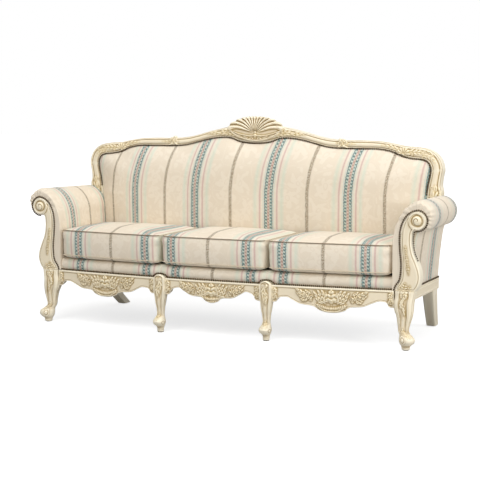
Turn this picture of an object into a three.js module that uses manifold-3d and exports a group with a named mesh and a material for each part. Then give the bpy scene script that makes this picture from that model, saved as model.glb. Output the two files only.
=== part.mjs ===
// Three-seat cabriole sofa: a carved, painted show-wood frame with scroll arms, a tight back and
// three loose seat cushions. Millimetres, X to the viewer's right when facing the sofa's front, Y to
// the back, Z up. The origin is on the floor, in the middle of the sofa's width and depth.
import * as THREE from "three";
import { mergeVertices } from "three/addons/utils/BufferGeometryUtils.js";
import Module from "manifold-3d";

const wasm = await Module();
wasm.setup();

// Overall sizes
const shellTopHeight = 1055;
const seatHalfWidth = 885;
const backSpread = 101;
const railClearance = 216;
const railHeight = 54;
const seatFrameDepth = 590;
const toeReach = 36;
const rearLegSplay = 175;
const overallDepth = toeReach + seatFrameDepth + rearLegSplay;

// Clearances
const jointGap = 0.3;
const softGap = 0.5;
const liftGap = 1.5;
const overrun = 8;

// Places along the depth
const railFront = toeReach - overallDepth / 2;
const backFace = railFront + seatFrameDepth;
const railBottom = railClearance;
const railTop = railClearance + railHeight;

// Back frame
const frameDepth = 55;
const mouldingProud = 2.8;
const backFront = backFace - frameDepth;
const frameFace = backFront - mouldingProud;
const backPanelThickness = 12;
const backPadSeat = 22;
const backPadBulge = 70;
const lowerBackRailHeight = 45;
const shellRelief = 24;
const shellWidth = 330;
const shellLift = 5.6;
const shellFlutes = 11;

// Arms
const armTop = 686;
const armWidth = 191;
const rollDrift = 18;
const facingThickness = 60;
const voluteRadius = 43;
const scrollEyeRadius = 17;
const scrollEyeHeight = 6;
const armPadSetback = 20;
const armPanelThickness = 13;
const armRailWidth = 64;
const armRailHeight = 44;

// Front rails and side rails
const cornerSweep = 62;
const apronThickness = 32;
const apronBeadHeight = 9;
const apronBeadProud = 3;
const sideRailThickness = 20;
const rearRailThickness = 30;
const crossRailThickness = 28;
const blockReach = 74;
const blockWidth = 20;

// Legs
const middleLegX = 283;
const cornerLegOffset = 73;
const cornerLegWidth = 92;
const cornerLegFront = 54;
const middleLegWidth = 61;
const kneeRise = 17;
const middleLegProud = 8;
const middleLegDepth = 58;
const kneeLipDepth = 15;
const rearLegOverhang = 16;
const rearLegWidth = 44;
const rearLegDepth = 76;
const rearFootWidth = 36;
const rearFootDepth = 62;
const rearFootInward = 38;
const glideHeight = 4;
const glideRadius = 15;

// Seat
const webbingThickness = 1.6;
const webbingWidth = 68;
const webbingStrips = 4;
const deckHeight = 63;
const borderDepth = 62;
const borderSetback = 10;
const cushionHeight = 144;
const cushionCrown = 27;
const cushionPull = 6;
const cushionOverhang = 7;
const cushionGap = 2.4;
const coverThickness = 1.5;
const coverMargin = 5;

// Trims and fasteners
const trimWidth = 9;
const trimHeight = 4.5;
const trimOnWood = 2;
const screwRadius = 2.5;
const screwLength = 30;
const screwHeadRadius = 5;
const screwHeadHeight = 3;

// Materials
function finish(colour, roughness, metalness = 0) {
  return new THREE.MeshStandardMaterial({ color: colour, roughness, metalness });
}
const paint = () => finish(0xece0c4, 0.45);
const bareWood = () => finish(0xb98f5e, 0.75);
const damask = () => finish(0xe6dcc8, 0.9);
const jute = () => finish(0xb7a27a, 0.95);
const lining = () => finish(0x2c2a28, 0.95);
const bronze = () => finish(0x5a4a33, 0.4, 0.8);
const steel = () => finish(0x9a9a98, 0.35, 1);
const plastic = () => finish(0x6c675f, 0.5);

// Solids

// A closed body through rings of equal length, with its two ends capped.
function loft(rings) {
  const count = rings[0].length;
  const positions = rings.flatMap((ring) => ring.flatMap((point) => [point.x, point.y, point.z]));
  const faces = [];
  for (let k = 0; k < rings.length - 1; k += 1) {
    for (let i = 0; i < count; i += 1) {
      const a = k * count + i;
      const b = k * count + ((i + 1) % count);
      faces.push(a, b, b + count, a, b + count, a + count);
    }
  }
  const lastStart = (rings.length - 1) * count;
  for (const [a, b, c] of capFaces(rings[0])) {
    faces.push(a, c, b);
  }
  for (const [a, b, c] of capFaces(rings.at(-1))) {
    faces.push(lastStart + a, lastStart + b, lastStart + c);
  }
  const geometry = new THREE.BufferGeometry();
  geometry.setAttribute("position", new THREE.Float32BufferAttribute(positions, 3));
  geometry.setIndex(signedVolume(positions, faces) < 0 ? turnedOver(faces) : faces);
  return geometry;
}

function capFaces(ring) {
  const normal = new THREE.Vector3();
  ring.forEach((point, i) => normal.add(point.clone().cross(ring[(i + 1) % ring.length])));
  normal.normalize();
  const along = new THREE.Vector3().subVectors(ring[1], ring[0]).projectOnPlane(normal).normalize();
  const across = new THREE.Vector3().crossVectors(normal, along);
  const flat = ring.map((point) => new THREE.Vector2(point.dot(along), point.dot(across)));
  return THREE.ShapeUtils.triangulateShape(flat, []).map(([a, b, c]) => {
    const area = THREE.ShapeUtils.area([flat[a], flat[b], flat[c]]);
    return area < 0 ? [a, c, b] : [a, b, c];
  });
}

function signedVolume(positions, faces) {
  const at = (i) => new THREE.Vector3().fromArray(positions, i * 3);
  let total = 0;
  for (let i = 0; i < faces.length; i += 3) {
    total += at(faces[i]).dot(at(faces[i + 1]).cross(at(faces[i + 2])));
  }
  return total;
}

function turnedOver(faces) {
  return faces.map((_, i) => faces[i - (i % 3) + [0, 2, 1][i % 3]]);
}

function toManifold(geometry) {
  const bare = geometry.clone();
  bare.deleteAttribute("normal");
  bare.deleteAttribute("uv");
  const merged = mergeVertices(bare);
  return new wasm.Manifold(new wasm.Mesh({
    numProp: 3,
    vertProperties: new Float32Array(merged.attributes.position.array),
    triVerts: new Uint32Array(merged.index.array),
  }));
}

function fromManifold(solid) {
  const mesh = solid.getMesh();
  const geometry = new THREE.BufferGeometry();
  geometry.setAttribute("position", new THREE.BufferAttribute(mesh.vertProperties, mesh.numProp));
  geometry.setIndex(new THREE.BufferAttribute(mesh.triVerts, 1));
  return geometry;
}

function cut(geometry, ...tools) {
  return fromManifold(tools.reduce((solid, tool) => solid.subtract(toManifold(tool)), toManifold(geometry)));
}

function join(geometry, ...others) {
  return fromManifold(others.reduce((solid, other) => solid.add(toManifold(other)), toManifold(geometry)));
}

// A box between two corners.
function slab(low, high) {
  const size = high.clone().sub(low);
  const geometry = new THREE.BoxGeometry(size.x, size.y, size.z);
  const centre = low.clone().add(high).divideScalar(2);
  return geometry.translate(centre.x, centre.y, centre.z);
}

function box(x0, x1, y0, y1, z0, z1) {
  const low = new THREE.Vector3(Math.min(x0, x1), Math.min(y0, y1), Math.min(z0, z1));
  const high = new THREE.Vector3(Math.max(x0, x1), Math.max(y0, y1), Math.max(z0, z1));
  return slab(low, high);
}

// An outline in the X-Z plane, carried from one Y to another.
function upright(outline, fromY, toY) {
  const ring = (y) => outline.map((point) => new THREE.Vector3(point.x, y, point.y));
  return loft([ring(fromY), ring(toY)]);
}

// An outline in the X-Y plane, carried from one Z to another.
function level(outline, fromZ, toZ) {
  const ring = (z) => outline.map((point) => new THREE.Vector3(point.x, point.y, z));
  return loft([ring(fromZ), ring(toZ)]);
}

function flatPoint(x, y) {
  return new THREE.Vector2(x, y);
}

// An outline moved outwards by a distance, square to its edges, with mitred corners.
const sharpestMitreShare = 0.5;
function widened(outline, distance) {
  const turn = Math.sign(THREE.ShapeUtils.area(outline));
  const square = (from, to) => {
    const way = to.clone().sub(from).normalize();
    return flatPoint(turn * way.y, -turn * way.x);
  };
  return outline.map((point, i) => {
    const before = square(outline[(i + outline.length - 1) % outline.length], point);
    const after = square(point, outline[(i + 1) % outline.length]);
    const reach = distance / Math.max(sharpestMitreShare, 1 + before.dot(after));
    return point.clone().addScaledVector(before.add(after), reach);
  });
}

function mirrored(geometry) {
  const copy = geometry.clone().scale(-1, 1, 1);
  const index = Array.from(copy.index.array);
  copy.setIndex(turnedOver(index));
  return copy;
}

// The radius of a rounded square with half sides a and b, at an angle.
function squareRadius(angle, a, b, squareness) {
  const across = Math.abs(Math.cos(angle)) / a;
  const along = Math.abs(Math.sin(angle)) / b;
  return (across ** squareness + along ** squareness) ** (-1 / squareness);
}

function sectionRing(x, y, z, a, b, turn, squareness, points) {
  return Array.from({ length: points }, (_, i) => {
    const angle = i * 2 * Math.PI / points;
    const radius = squareRadius(angle - turn, a, b, squareness);
    return new THREE.Vector3(x + radius * Math.cos(angle), y + radius * Math.sin(angle), z);
  });
}

// The seat front swings back towards the arms.
function frontSweep(x) {
  return railFront + cornerSweep * (x / cornerRailEnd) ** 2;
}

// Group that holds the sofa
const sofa = new THREE.Group();
sofa.name = "cabriole_sofa";

function add(name, geometry, material) {
  const mesh = new THREE.Mesh(geometry, material);
  mesh.name = name;
  sofa.add(mesh);
}

function addPair(name, geometry, makeMaterial) {
  add(`${name}_right`, geometry, makeMaterial());
  add(`${name}_left`, mirrored(geometry), makeMaterial());
}

// Corner legs

// Each row: height as a share of the rail top; centre outwards and backwards, half width and
// half depth as shares of the leg's width; turn towards the toe; squareness.
const toeTurn = -Math.PI / 4;
const cornerLegShares = [
  [0.015, 0, 0, 0.2, 0.2, 1, 2],
  [0.07, 0, 0, 0.24, 0.24, 1, 2],
  [0.11, 0.02, -0.02, 0.33, 0.3, 1, 2.1],
  [0.165, 0.05, -0.05, 0.43, 0.35, 1, 2.2],
  [0.22, 0.03, -0.03, 0.4, 0.335, 1, 2.2],
  [0.27, -0.07, 0.06, 0.33, 0.29, 1, 2.2],
  [0.325, -0.2, 0.18, 0.285, 0.27, 0, 2.4],
  [0.445, -0.2, 0.2, 0.34, 0.3, 0, 2.8],
  [0.57, -0.2, 0.235, 0.41, 0.335, 0, 3.2],
  [0.675, -0.205, 0.26, 0.473, 0.355, 0, 4],
  [0.8, -0.185, 0.29, 0.478, 0.355, 0, 5],
  [0.9, -0.14, 0.32, 0.473, 0.34, 0, 6],
  [1, -0.13, 0.337, 0.5, 0.326, 0, 8],
];
const legPoints = 16;
const cornerLegX = seatHalfWidth + cornerLegOffset;
const cornerFootY = railFront + cornerLegFront;
const facingFront = cornerFootY + cornerLegWidth * (cornerLegShares.at(-1)[2] - cornerLegShares.at(-1)[4]);
const facingBack = facingFront + facingThickness;
const cornerLegTop = railTop - jointGap;
const apronSeatShare = 0.6;
const cornerLegInner = Math.min(...cornerLegShares
  .filter((row) => row[0] > apronSeatShare)
  .map((row) => cornerLegX + cornerLegWidth * (row[1] - row[3])));
const cornerRailEnd = cornerLegInner - jointGap;

const cornerLeg = loft(cornerLegShares.map(([up, out, back, halfX, halfY, turned, squareness]) => sectionRing(
  cornerLegX + out * cornerLegWidth,
  cornerFootY + back * cornerLegWidth,
  Math.max(glideHeight + jointGap, up * cornerLegTop),
  halfX * cornerLegWidth,
  halfY * cornerLegWidth,
  turned * toeTurn,
  squareness,
  legPoints,
)));
addPair("front_corner_leg", cornerLeg, paint);

// Middle front legs

// Each row: height as a share of the leg; centre backwards of the foot, half width and half depth
// as shares of the leg's width; squareness.
const middleLegShares = [
  [0.015, 0, 0.26, 0.26, 2],
  [0.09, 0, 0.3, 0.3, 2],
  [0.14, -0.12, 0.41, 0.52, 2.1],
  [0.195, -0.18, 0.465, 0.61, 2.2],
  [0.25, -0.1, 0.44, 0.55, 2.2],
  [0.305, 0.1, 0.385, 0.4, 2.3],
  [0.42, 0.13, 0.435, 0.41, 2.8],
  [0.525, 0.11, 0.48, 0.45, 3.2],
  [0.66, 0.12, 0.49, 0.48, 4],
];
const middleToeShare = Math.max(...middleLegShares.map(([, back, , halfY]) => halfY - back));
const middleFootY = railFront - toeReach + middleToeShare * middleLegWidth;
const middleLegHeight = railTop + kneeRise;
const middleLegCentre = railFront - middleLegProud + middleLegDepth / 2;
const kneeLipCentre = railFront - middleLegProud + kneeLipDepth / 2;
const middleLegBack = railFront - middleLegProud + middleLegDepth;
const kneeTopShares = [
  [0, 0.5],
  [0.45, 0.42],
  [0.8, 0.28],
  [1, 0.12],
];
const middleLegHalf = middleLegWidth / 2;
const middleLegRings = middleLegShares.map(([up, back, halfX, halfY, squareness]) => sectionRing(
  middleLegX,
  middleFootY + back * middleLegWidth,
  Math.max(glideHeight + jointGap, up * middleLegHeight),
  halfX * middleLegWidth,
  halfY * middleLegWidth,
  0,
  squareness,
  legPoints,
));
const blockSquareness = 8;
for (const z of [railBottom, railTop - jointGap]) {
  middleLegRings.push(sectionRing(
    middleLegX, middleLegCentre, z, middleLegHalf, middleLegDepth / 2, 0, blockSquareness, legPoints,
  ));
}
for (const [rise, half] of kneeTopShares) {
  middleLegRings.push(sectionRing(
    middleLegX, kneeLipCentre, railTop + rise * (middleLegHeight - railTop),
    half * middleLegWidth, kneeLipDepth / 2, 0, blockSquareness, legPoints,
  ));
}
addPair("front_middle_leg", loft(middleLegRings), paint);

// Rear legs: plain square sabre legs that sweep back from the frame
const rearLegSteps = 6;
const rearLegPoints = 8;
const rearLegSquareness = 12;
const sabrePower = 1.35;
const rearLegOuter = () => postOuterAtRail + rearLegOverhang;
function rearLegRing(share) {
  const sweep = share ** sabrePower;
  const width = THREE.MathUtils.lerp(rearLegWidth, rearFootWidth, share);
  const depth = THREE.MathUtils.lerp(rearLegDepth, rearFootDepth, share);
  const x = rearLegOuter() - rearLegWidth / 2 - rearFootInward * sweep;
  const y = backFace + rearLegSplay * sweep - depth / 2;
  const z = THREE.MathUtils.lerp(railBottom - jointGap, glideHeight + jointGap, share);
  return sectionRing(x, y, z, width / 2, depth / 2, 0, rearLegSquareness, rearLegPoints);
}

// Back frame

// Each row: outer edge across and up, inner edge across and up. Across counts to 1 at the seat's
// half width, and from 1 to 2 over the back's spread beyond it. Up is a share of the height from the
// rail top to the shell top.
const frameShares = [
  [0, 0.936, 0, 0.826],
  [0.1226, 0.935, 0.0947, 0.836],
  [0.1894, 0.926, 0.1582, 0.86],
  [0.234, 0.915, 0.2173, 0.862],
  [0.2941, 0.9, 0.2941, 0.851],
  [0.3677, 0.877, 0.3732, 0.829],
  [0.4412, 0.86, 0.4523, 0.809],
  [0.5314, 0.852, 0.5314, 0.803],
  [0.6551, 0.851, 0.6551, 0.802],
  [0.7576, 0.846, 0.752, 0.801],
  [0.8356, 0.832, 0.8245, 0.787],
  [0.9036, 0.818, 0.8868, 0.759],
  [0.9715, 0.813, 0.9437, 0.745],
  [1.2971, 0.8, 0.9949, 0.74],
  [1.6876, 0.768, 1.2678, 0.726],
  [1.9219, 0.72, 1.4143, 0.694],
  [1.9902, 0.675, 1.4338, 0.669],
  [1.9317, 0.63, 1.3947, 0.63],
  [1.8926, 0.58, 1.3069, 0.58],
  [1.9512, 0.535, 1.2581, 0.535],
  [1.9024, 0.471, 1.2288, 0.471],
  [1.7071, 0.29, 1.18, 0.29],
  [1.5802, 0.09, 1.1311, 0.09],
  [1.546, 0, 1.1116, 0],
  [1.546, -0.0685, 1.1116, -0.0685],
];
const crestJointRow = 16;
const armRow = 19;
const railRow = 23;
const frameRise = shellTopHeight - railTop;
const halfRows = frameShares.length - 1;

function acrossBack(share) {
  return Math.min(share, 1) * seatHalfWidth + Math.max(share - 1, 0) * backSpread;
}

function framePoint(across, up) {
  return new THREE.Vector3(acrossBack(across), 0, railTop + up * frameRise);
}

function frameCurve(column) {
  const right = frameShares.map((row) => framePoint(row[column], row[column + 1]));
  right.at(-1).z = railBottom;
  const left = right.slice(1).reverse().map((point) => new THREE.Vector3(-point.x, 0, point.z));
  return new THREE.CatmullRomCurve3([...left, ...right]);
}

const outerCurve = frameCurve(0);
const innerCurve = frameCurve(2);
const postOuterAtRail = acrossBack(frameShares[railRow][0]);
const postInnerAtRail = acrossBack(frameShares[railRow][2]);

// A point on the frame's edge curve, by row: rows to the left of the centre are negative.
function frameEdge(curve, row) {
  return curve.getPoint((row + halfRows) / (2 * halfRows));
}

function rowsBetween(from, to, perRow) {
  const steps = Math.round((to - from) * perRow);
  return Array.from({ length: steps + 1 }, (_, i) => from + (to - from) * i / steps);
}

// Moulded show-wood section: share from the inner edge to the outer edge, share of the depth,
// share of the moulding's height.
const mouldingShares = [
  [0, 0, 0],
  [0.3, 0.01, 0],
  [0.55, 0, 1],
  [0.85, 0, 0.4],
  [1, 0.1, 0],
  [1, 1, 0],
  [0, 1, 0],
];

function frameRing(row) {
  const inner = frameEdge(innerCurve, row);
  const outer = frameEdge(outerCurve, row);
  return mouldingShares.map(([out, back, proud]) => {
    const point = inner.clone().lerp(outer, out);
    point.y = backFront + back * frameDepth - proud * mouldingProud;
    return point;
  });
}

function shifted(ring, x, z) {
  return ring.map((point) => new THREE.Vector3(point.x + x, point.y, point.z + z));
}

const crestRingsPerRow = 1.5;
const postRingsPerRow = 2;
const crestRows = rowsBetween(-crestJointRow, crestJointRow, crestRingsPerRow);
add("crest_rail", loft(crestRows.map(frameRing)), paint());

const postRows = rowsBetween(crestJointRow, halfRows, postRingsPerRow);
const postRings = postRows.map(frameRing);
postRings[0] = shifted(postRings[0], 0, -jointGap);
const post = loft(postRings);
addPair("back_post", post, paint);

// The outline of a post in the X-Z plane, for the pieces that fit round it.
function postOutline() {
  const outer = postRows.map((row) => frameEdge(outerCurve, row));
  const inner = postRows.map((row) => frameEdge(innerCurve, row)).reverse();
  return [...outer, ...inner].map((point) => flatPoint(point.x, point.z));
}

addPair("rear_leg", loft(rowsBetween(0, 1, rearLegSteps).map(rearLegRing)), paint);

// Crest shell: a fluted fan over a plain lip, in front of the middle of the crest

// Half outline, from the top down: across as a share of half the width, up as a share of the height.
const shellOutlineShares = [
  [0, 1], [0.33, 0.98], [0.62, 0.89], [0.85, 0.74], [1, 0.58], [0.95, 0.46], [0.82, 0.31],
  [0.63, 0.18], [0.36, 0.06], [0, 0],
];
const shellRootShare = 0.18;
const shellRingShares = [0.15, 0.5, 0.85, 1];
const shellWaveShare = 0.035;
const shellDomeShare = 0.38;
const shellFluteShare = 0.16;
const shellEdgeShare = 0.45;
const stepsPerFlute = 4;
const shellBottom = framePoint(frameShares[0][2], frameShares[0][3]).z + shellLift;
const shellHeight = shellTopHeight - shellBottom;
const shellRoot = new THREE.Vector3(0, 0, shellBottom + shellRootShare * shellHeight);
const shellBack = frameFace - jointGap;
const shellHalf = shellOutlineShares.map(([across, up]) => (
  new THREE.Vector3(across * shellWidth / 2, 0, shellBottom + up * shellHeight)));
const shellOtherHalf = shellHalf.slice(1, -1).reverse().map((point) => new THREE.Vector3(-point.x, 0, point.z));
const shellCurve = new THREE.CatmullRomCurve3([...shellHalf, ...shellOtherHalf], true);
const shellEdge = shellCurve.getSpacedPoints(shellFlutes * stepsPerFlute).slice(1);

function shellRing(share) {
  return shellEdge.map((edge) => {
    const spoke = edge.clone().sub(shellRoot);
    const angle = Math.atan2(spoke.z, Math.abs(spoke.x));
    const ridge = angle > 0 ? Math.cos(2 * angle * shellFlutes) * Math.sin(angle) : 0;
    const reach = share * (1 - shellWaveShare + shellWaveShare * ridge);
    const dome = 1 - shellDomeShare + shellDomeShare * Math.sin(Math.PI * share);
    const relief = (dome + shellFluteShare * ridge * share) * (share === 1 ? shellEdgeShare : 1);
    const point = shellRoot.clone().addScaledVector(spoke, reach);
    point.y = shellBack - relief * shellRelief;
    return point;
  });
}

const shellFace = shellRingShares.map(shellRing);
const shellRim = shellFace.at(-1).map((point) => new THREE.Vector3(point.x, shellBack, point.z));
add("crest_shell", loft([...shellFace, shellRim]), paint());

// Rear and lower back rails
add("rear_seat_rail", box(
  -postInnerAtRail + jointGap, postInnerAtRail - jointGap,
  backFace - rearRailThickness, backFace, railBottom, railTop,
), bareWood());
const padBack = backFront + backPadSeat;
const deckBottom = railTop + webbingThickness + 2 * jointGap;
const deckTop = railTop + deckHeight;
const backPanelFront = backFace - backPanelThickness;
const lowerRailBottom = deckTop + softGap;
const innerPostX = Math.min(...rowsBetween(armRow, halfRows, 1).map((row) => frameEdge(innerCurve, row).x));
add("lower_back_rail", box(
  -innerPostX + jointGap, innerPostX - jointGap,
  padBack + jointGap, backPanelFront - jointGap,
  lowerRailBottom, lowerRailBottom + lowerBackRailHeight,
), bareWood());

// Arm facings: an S-curved upright that ends in a scroll

// Each row: across as a share of the arm's width from the inside arm, up as a share of the height
// from the rail top to the arm top.
const facingInnerShares = [
  [0.078, 0], [0.105, 0.048], [0.182, 0.115], [0.199, 0.204], [0.201, 0.312], [0.18, 0.444],
  [0.178, 0.576], [0.21, 0.685], [0.277, 0.775], [0.381, 0.838], [0.497, 0.872],
];
const facingOuterShares = [
  [0.53, 0.685], [0.486, 0.648], [0.468, 0.582], [0.476, 0.5], [0.518, 0.413], [0.581, 0.318],
  [0.635, 0.221], [0.65, 0.132], [0.618, 0.058], [0.56, 0],
];
const voluteShare = [0.613, 0.781];
const voluteSteps = 10;
const armRise = armTop - railTop;

function armPoint([across, up]) {
  return flatPoint(seatHalfWidth + across * armWidth, railTop + up * armRise);
}

const volute = armPoint(voluteShare);
const voluteStart = 0.52 * Math.PI;
const voluteTurn = 1.06 * Math.PI;
const facingOutline = [
  ...facingInnerShares.map(armPoint),
  ...Array.from({ length: voluteSteps + 1 }, (_, i) => {
    const angle = voluteStart - voluteTurn * i / voluteSteps;
    return flatPoint(volute.x + voluteRadius * Math.cos(angle), volute.y + voluteRadius * Math.sin(angle));
  }),
  ...facingOuterShares.map(armPoint),
];
const scrollEyeTaperShare = 0.7;
const scrollEyeSides = 14;
const scrollEye = new THREE.CylinderGeometry(
  scrollEyeRadius * scrollEyeTaperShare, scrollEyeRadius, scrollEyeHeight + overrun, scrollEyeSides,
).rotateX(Math.PI / 2).translate(volute.x, facingFront - (scrollEyeHeight - overrun) / 2, volute.y);
const facing = join(upright(facingOutline, facingFront, facingBack), scrollEye);
addPair("arm_facing", facing, paint);

// Arm pads: the stuffed roll and the inside arm
const rollShare = [0.63, 0.83];
const armProfileShares = [
  [0, 0], [0, 0.155], [-0.004, 0.36], [0, 0.52], [0.025, 0.64], [0.1, 0.77], [0.24, 0.885],
  [0.43, 0.968], [0.63, 1], [0.82, 0.975], [0.955, 0.91], [1, 0.83], [0.96, 0.75],
  [0.86, 0.69], [0.72, 0.662], [0.5, 0.656], [0.22, 0.625], [0.155, 0.5], [0.147, 0],
];
// How much of the roll's drift towards the middle each row takes, from front to back.
const rollDriftShares = [0, 0, 0, 0.1, 0.3, 0.6, 0.85, 1, 1, 1, 1, 1, 1, 1, 1, 1, 0.3, 0, 0];
const rollStartRow = 5;
const rollEndRow = 15;
const innerPanelShare = 0.073;
const armProfile = armProfileShares.map(armPoint);
for (const foot of [armProfile[0], armProfile.at(-1)]) {
  foot.y = deckBottom;
}
const armCores = armProfile.map((_, i) => (
  i >= rollStartRow && i <= rollEndRow
    ? armPoint(rollShare)
    : flatPoint(armPoint([innerPanelShare, 0]).x, armProfile[i].y)));
const bullnoseShares = [[0, 0.8], [0.25, 0.93], [0.8, 1]];
const bullnoseDepth = 42;
const armPadFront = facingFront + armPadSetback;
const armPadBack = backFace;

function armRing(y, scale) {
  const drift = rollDrift * (y - armPadFront) / (armPadBack - armPadFront);
  return armProfile.map((point, i) => {
    const placed = armCores[i].clone().lerp(point, scale);
    return new THREE.Vector3(placed.x - drift * rollDriftShares[i], y, placed.y);
  });
}

// The arm pad's outline carried from one Y to another, with the gap that its neighbours keep.
function armEnvelope(fromY, toY) {
  return loft([fromY, toY].map((y) => {
    const outline = armRing(y, 1).map((point) => flatPoint(point.x, point.z));
    return widened(outline, softGap).map((point) => new THREE.Vector3(point.x, y, point.y));
  }));
}

const armRings = [
  ...bullnoseShares.map(([back, scale]) => armRing(armPadFront + back * bullnoseDepth, scale)),
  ...[...bullnoseShares].reverse().map(([back, scale]) => armRing(armPadBack - back * bullnoseDepth, scale)),
];
const armRailFront = facingBack + jointGap;
const armRailBack = frameFace - jointGap;
const armRailShiftShare = 0.33;
const armRailX = volute.x - armRailShiftShare * armRailWidth;
function armRail(clearance) {
  return box(
    armRailX - armRailWidth / 2 - clearance, armRailX + armRailWidth / 2 + clearance,
    armRailFront - (clearance ? overrun + facingThickness : 0),
    armRailBack + (clearance ? jointGap : 0),
    volute.y - armRailHeight / 2 - clearance, volute.y + armRailHeight / 2 + clearance,
  );
}
addPair("arm_top_rail", armRail(0), bareWood);

const facingClear = upright(widened(facingOutline, softGap), facingFront - overrun, facingBack + jointGap);
const postClear = upright(widened(postOutline(), softGap), frameFace - jointGap, backFace + overrun);
const insideEnd = box(
  seatHalfWidth - armWidth, postOuterAtRail, frameFace - jointGap, backFace + overrun,
  railTop - overrun, armTop,
);
const armPad = cut(loft(armRings), armRail(softGap), facingClear, postClear, insideEnd);
addPair("arm_pad", armPad, damask);

// Outside arm panels
const panelOuterShares = [[0.367, 0], [0.381, 0.168], [0.409, 0.36], [0.455, 0.555], [0.49, 0.62], [0.515, 0.645]];
const armPanelOuter = panelOuterShares.map(armPoint);
armPanelOuter[0].y = deckBottom;
const armPanelOutline = [
  ...armPanelOuter,
  ...armPanelOuter.map((point) => flatPoint(point.x - armPanelThickness, point.y)).reverse(),
];
const armPanel = cut(
  upright(armPanelOutline, facingBack + jointGap, backFace),
  armEnvelope(facingBack, backFace + overrun),
  postClear,
);
addPair("outside_arm_panel", armPanel, damask);

// Back upholstery

// The opening inside the frame, cut off level at the bottom.
function frameOpening(bottom, gap) {
  const crest = crestRows.filter((row) => row >= 0).map((row) => frameEdge(innerCurve, row));
  const down = postRows.slice(1).map((row) => frameEdge(innerCurve, row));
  const side = [...crest, ...down];
  const last = side.findIndex((point) => point.z < bottom + 2 * trimWidth);
  const share = (bottom - side[last].z) / (side[last - 1].z - side[last].z);
  const corner = side[last].clone().lerp(side[last - 1], share);
  const right = [...side.slice(0, last), corner].map((point) => flatPoint(point.x, point.z));
  const left = right.filter((point) => point.x > softGap).map((point) => flatPoint(-point.x, point.y)).reverse();
  return widened([...left, ...right], -gap).map((point) => flatPoint(point.x, Math.max(point.y, bottom)));
}

const padBottom = deckTop + softGap;
const padOutline = frameOpening(padBottom, softGap);
const padCentreShare = 0.42;
const padSpineShare = 0.7;
const padMiddle = padBottom + padCentreShare * (shellTopHeight - padBottom);
// Each row: how far in towards the middle, and how much of the bulge.
const padShares = [[0.06, 0.34], [0.15, 0.66], [0.28, 0.9], [0.45, 1]];

function padRing(outline, inward, bulge) {
  return outline.map((point) => {
    const spine = flatPoint(THREE.MathUtils.clamp(point.x, -padSpine, padSpine), padMiddle);
    const placed = point.clone().lerp(spine, inward);
    return new THREE.Vector3(placed.x, backFront - bulge * backPadBulge, placed.y);
  });
}

const padSpine = padSpineShare * innerPostX;
const padInset = widened(padOutline, -trimWidth);
const padBackRing = padOutline.map((point) => new THREE.Vector3(point.x, padBack, point.y));
const backPadBody = loft([
  padBackRing,
  padRing(padOutline, 0, 0),
  padRing(padInset, 0, 0),
  ...padShares.map(([inward, bulge]) => padRing(padInset, inward, bulge)),
]);
const armClear = armEnvelope(backFront - backPadBulge - overrun, frameFace);
add("back_pad", cut(backPadBody, armClear, mirrored(armClear)), damask());
add("outside_back_panel", upright(
  frameOpening(railTop + jointGap, softGap), backPanelFront, backFace - jointGap,
), damask());

// Front rails with shaped lower edges

// Each row: across as a share of the apron's length, drop as a share of the rail's height.
const sideApronShares = [
  [0, 1.5], [0.03, 1.46], [0.05, 1.2], [0.08, 1.03], [0.12, 1], [0.17, 1.2], [0.25, 1.55],
  [0.34, 1.66], [0.4, 2], [0.47, 2.17], [0.53, 2.17], [0.6, 2], [0.66, 1.64], [0.74, 1.57],
  [0.83, 1.2], [0.89, 1], [0.925, 1.02], [0.95, 1.2], [0.97, 1.46], [1, 1.5],
];
const middleApronShares = [
  [0, 1.5], [0.035, 1.46], [0.058, 1.15], [0.09, 0.9], [0.14, 0.78], [0.2, 1.05], [0.3, 1.45],
  [0.38, 1.5], [0.44, 1.85], [0.5, 1.98],
];

function smoothEdge(shares, samples) {
  const curve = new THREE.CatmullRomCurve3(shares.map(([across, drop]) => new THREE.Vector3(across, drop, 0)));
  return curve.getPoints(samples);
}

function apron(from, to, edge) {
  return loft(edge.map((point) => {
    const x = THREE.MathUtils.lerp(from, to, point.x);
    const y = frontSweep(x);
    const bottom = railTop - point.y * railHeight;
    const bead = railTop - apronBeadHeight;
    return [
      new THREE.Vector3(x, y - apronBeadProud, railTop),
      new THREE.Vector3(x, y - apronBeadProud, bead),
      new THREE.Vector3(x, y, bead - apronBeadProud),
      new THREE.Vector3(x, y, bottom),
      new THREE.Vector3(x, y + apronThickness, bottom),
      new THREE.Vector3(x, y + apronThickness, railTop),
    ];
  }));
}

const middleLegSide = middleLegHalf + jointGap;
const sideEdgeSteps = 38;
const middleEdgeSteps = 36;
const sideEdge = smoothEdge(sideApronShares, sideEdgeSteps);
const middleEdge = smoothEdge([
  ...middleApronShares,
  ...middleApronShares.slice(0, -1).reverse().map(([across, drop]) => [1 - across, drop]),
], middleEdgeSteps);
addPair("front_apron", apron(middleLegX + middleLegSide, cornerRailEnd, sideEdge), paint);
add("front_apron_middle", apron(-middleLegX + middleLegSide, middleLegX - middleLegSide, middleEdge), paint());

// Side rails and cross rails
const sideRailInner = postOuterAtRail + jointGap;
const sideRailOuter = sideRailInner + sideRailThickness;
addPair("side_rail", box(
  sideRailInner, sideRailOuter, facingBack + jointGap, backFace, railBottom, railTop,
), paint);
addPair("seat_cross_rail", box(
  middleLegX - crossRailThickness / 2, middleLegX + crossRailThickness / 2,
  middleLegBack + jointGap, backFace - rearRailThickness - jointGap, railBottom, railTop,
), bareWood);

// Corner blocks and their screws
const blockInset = 6;
const blockBottom = railBottom + blockInset;
const blockTop = railTop - blockInset;
const blockX = sideRailInner - jointGap;
const frontBlockY = facingBack + jointGap;
const rearBlockY = frameFace - jointGap;
const screwZ = (blockBottom + blockTop) / 2;

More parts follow.
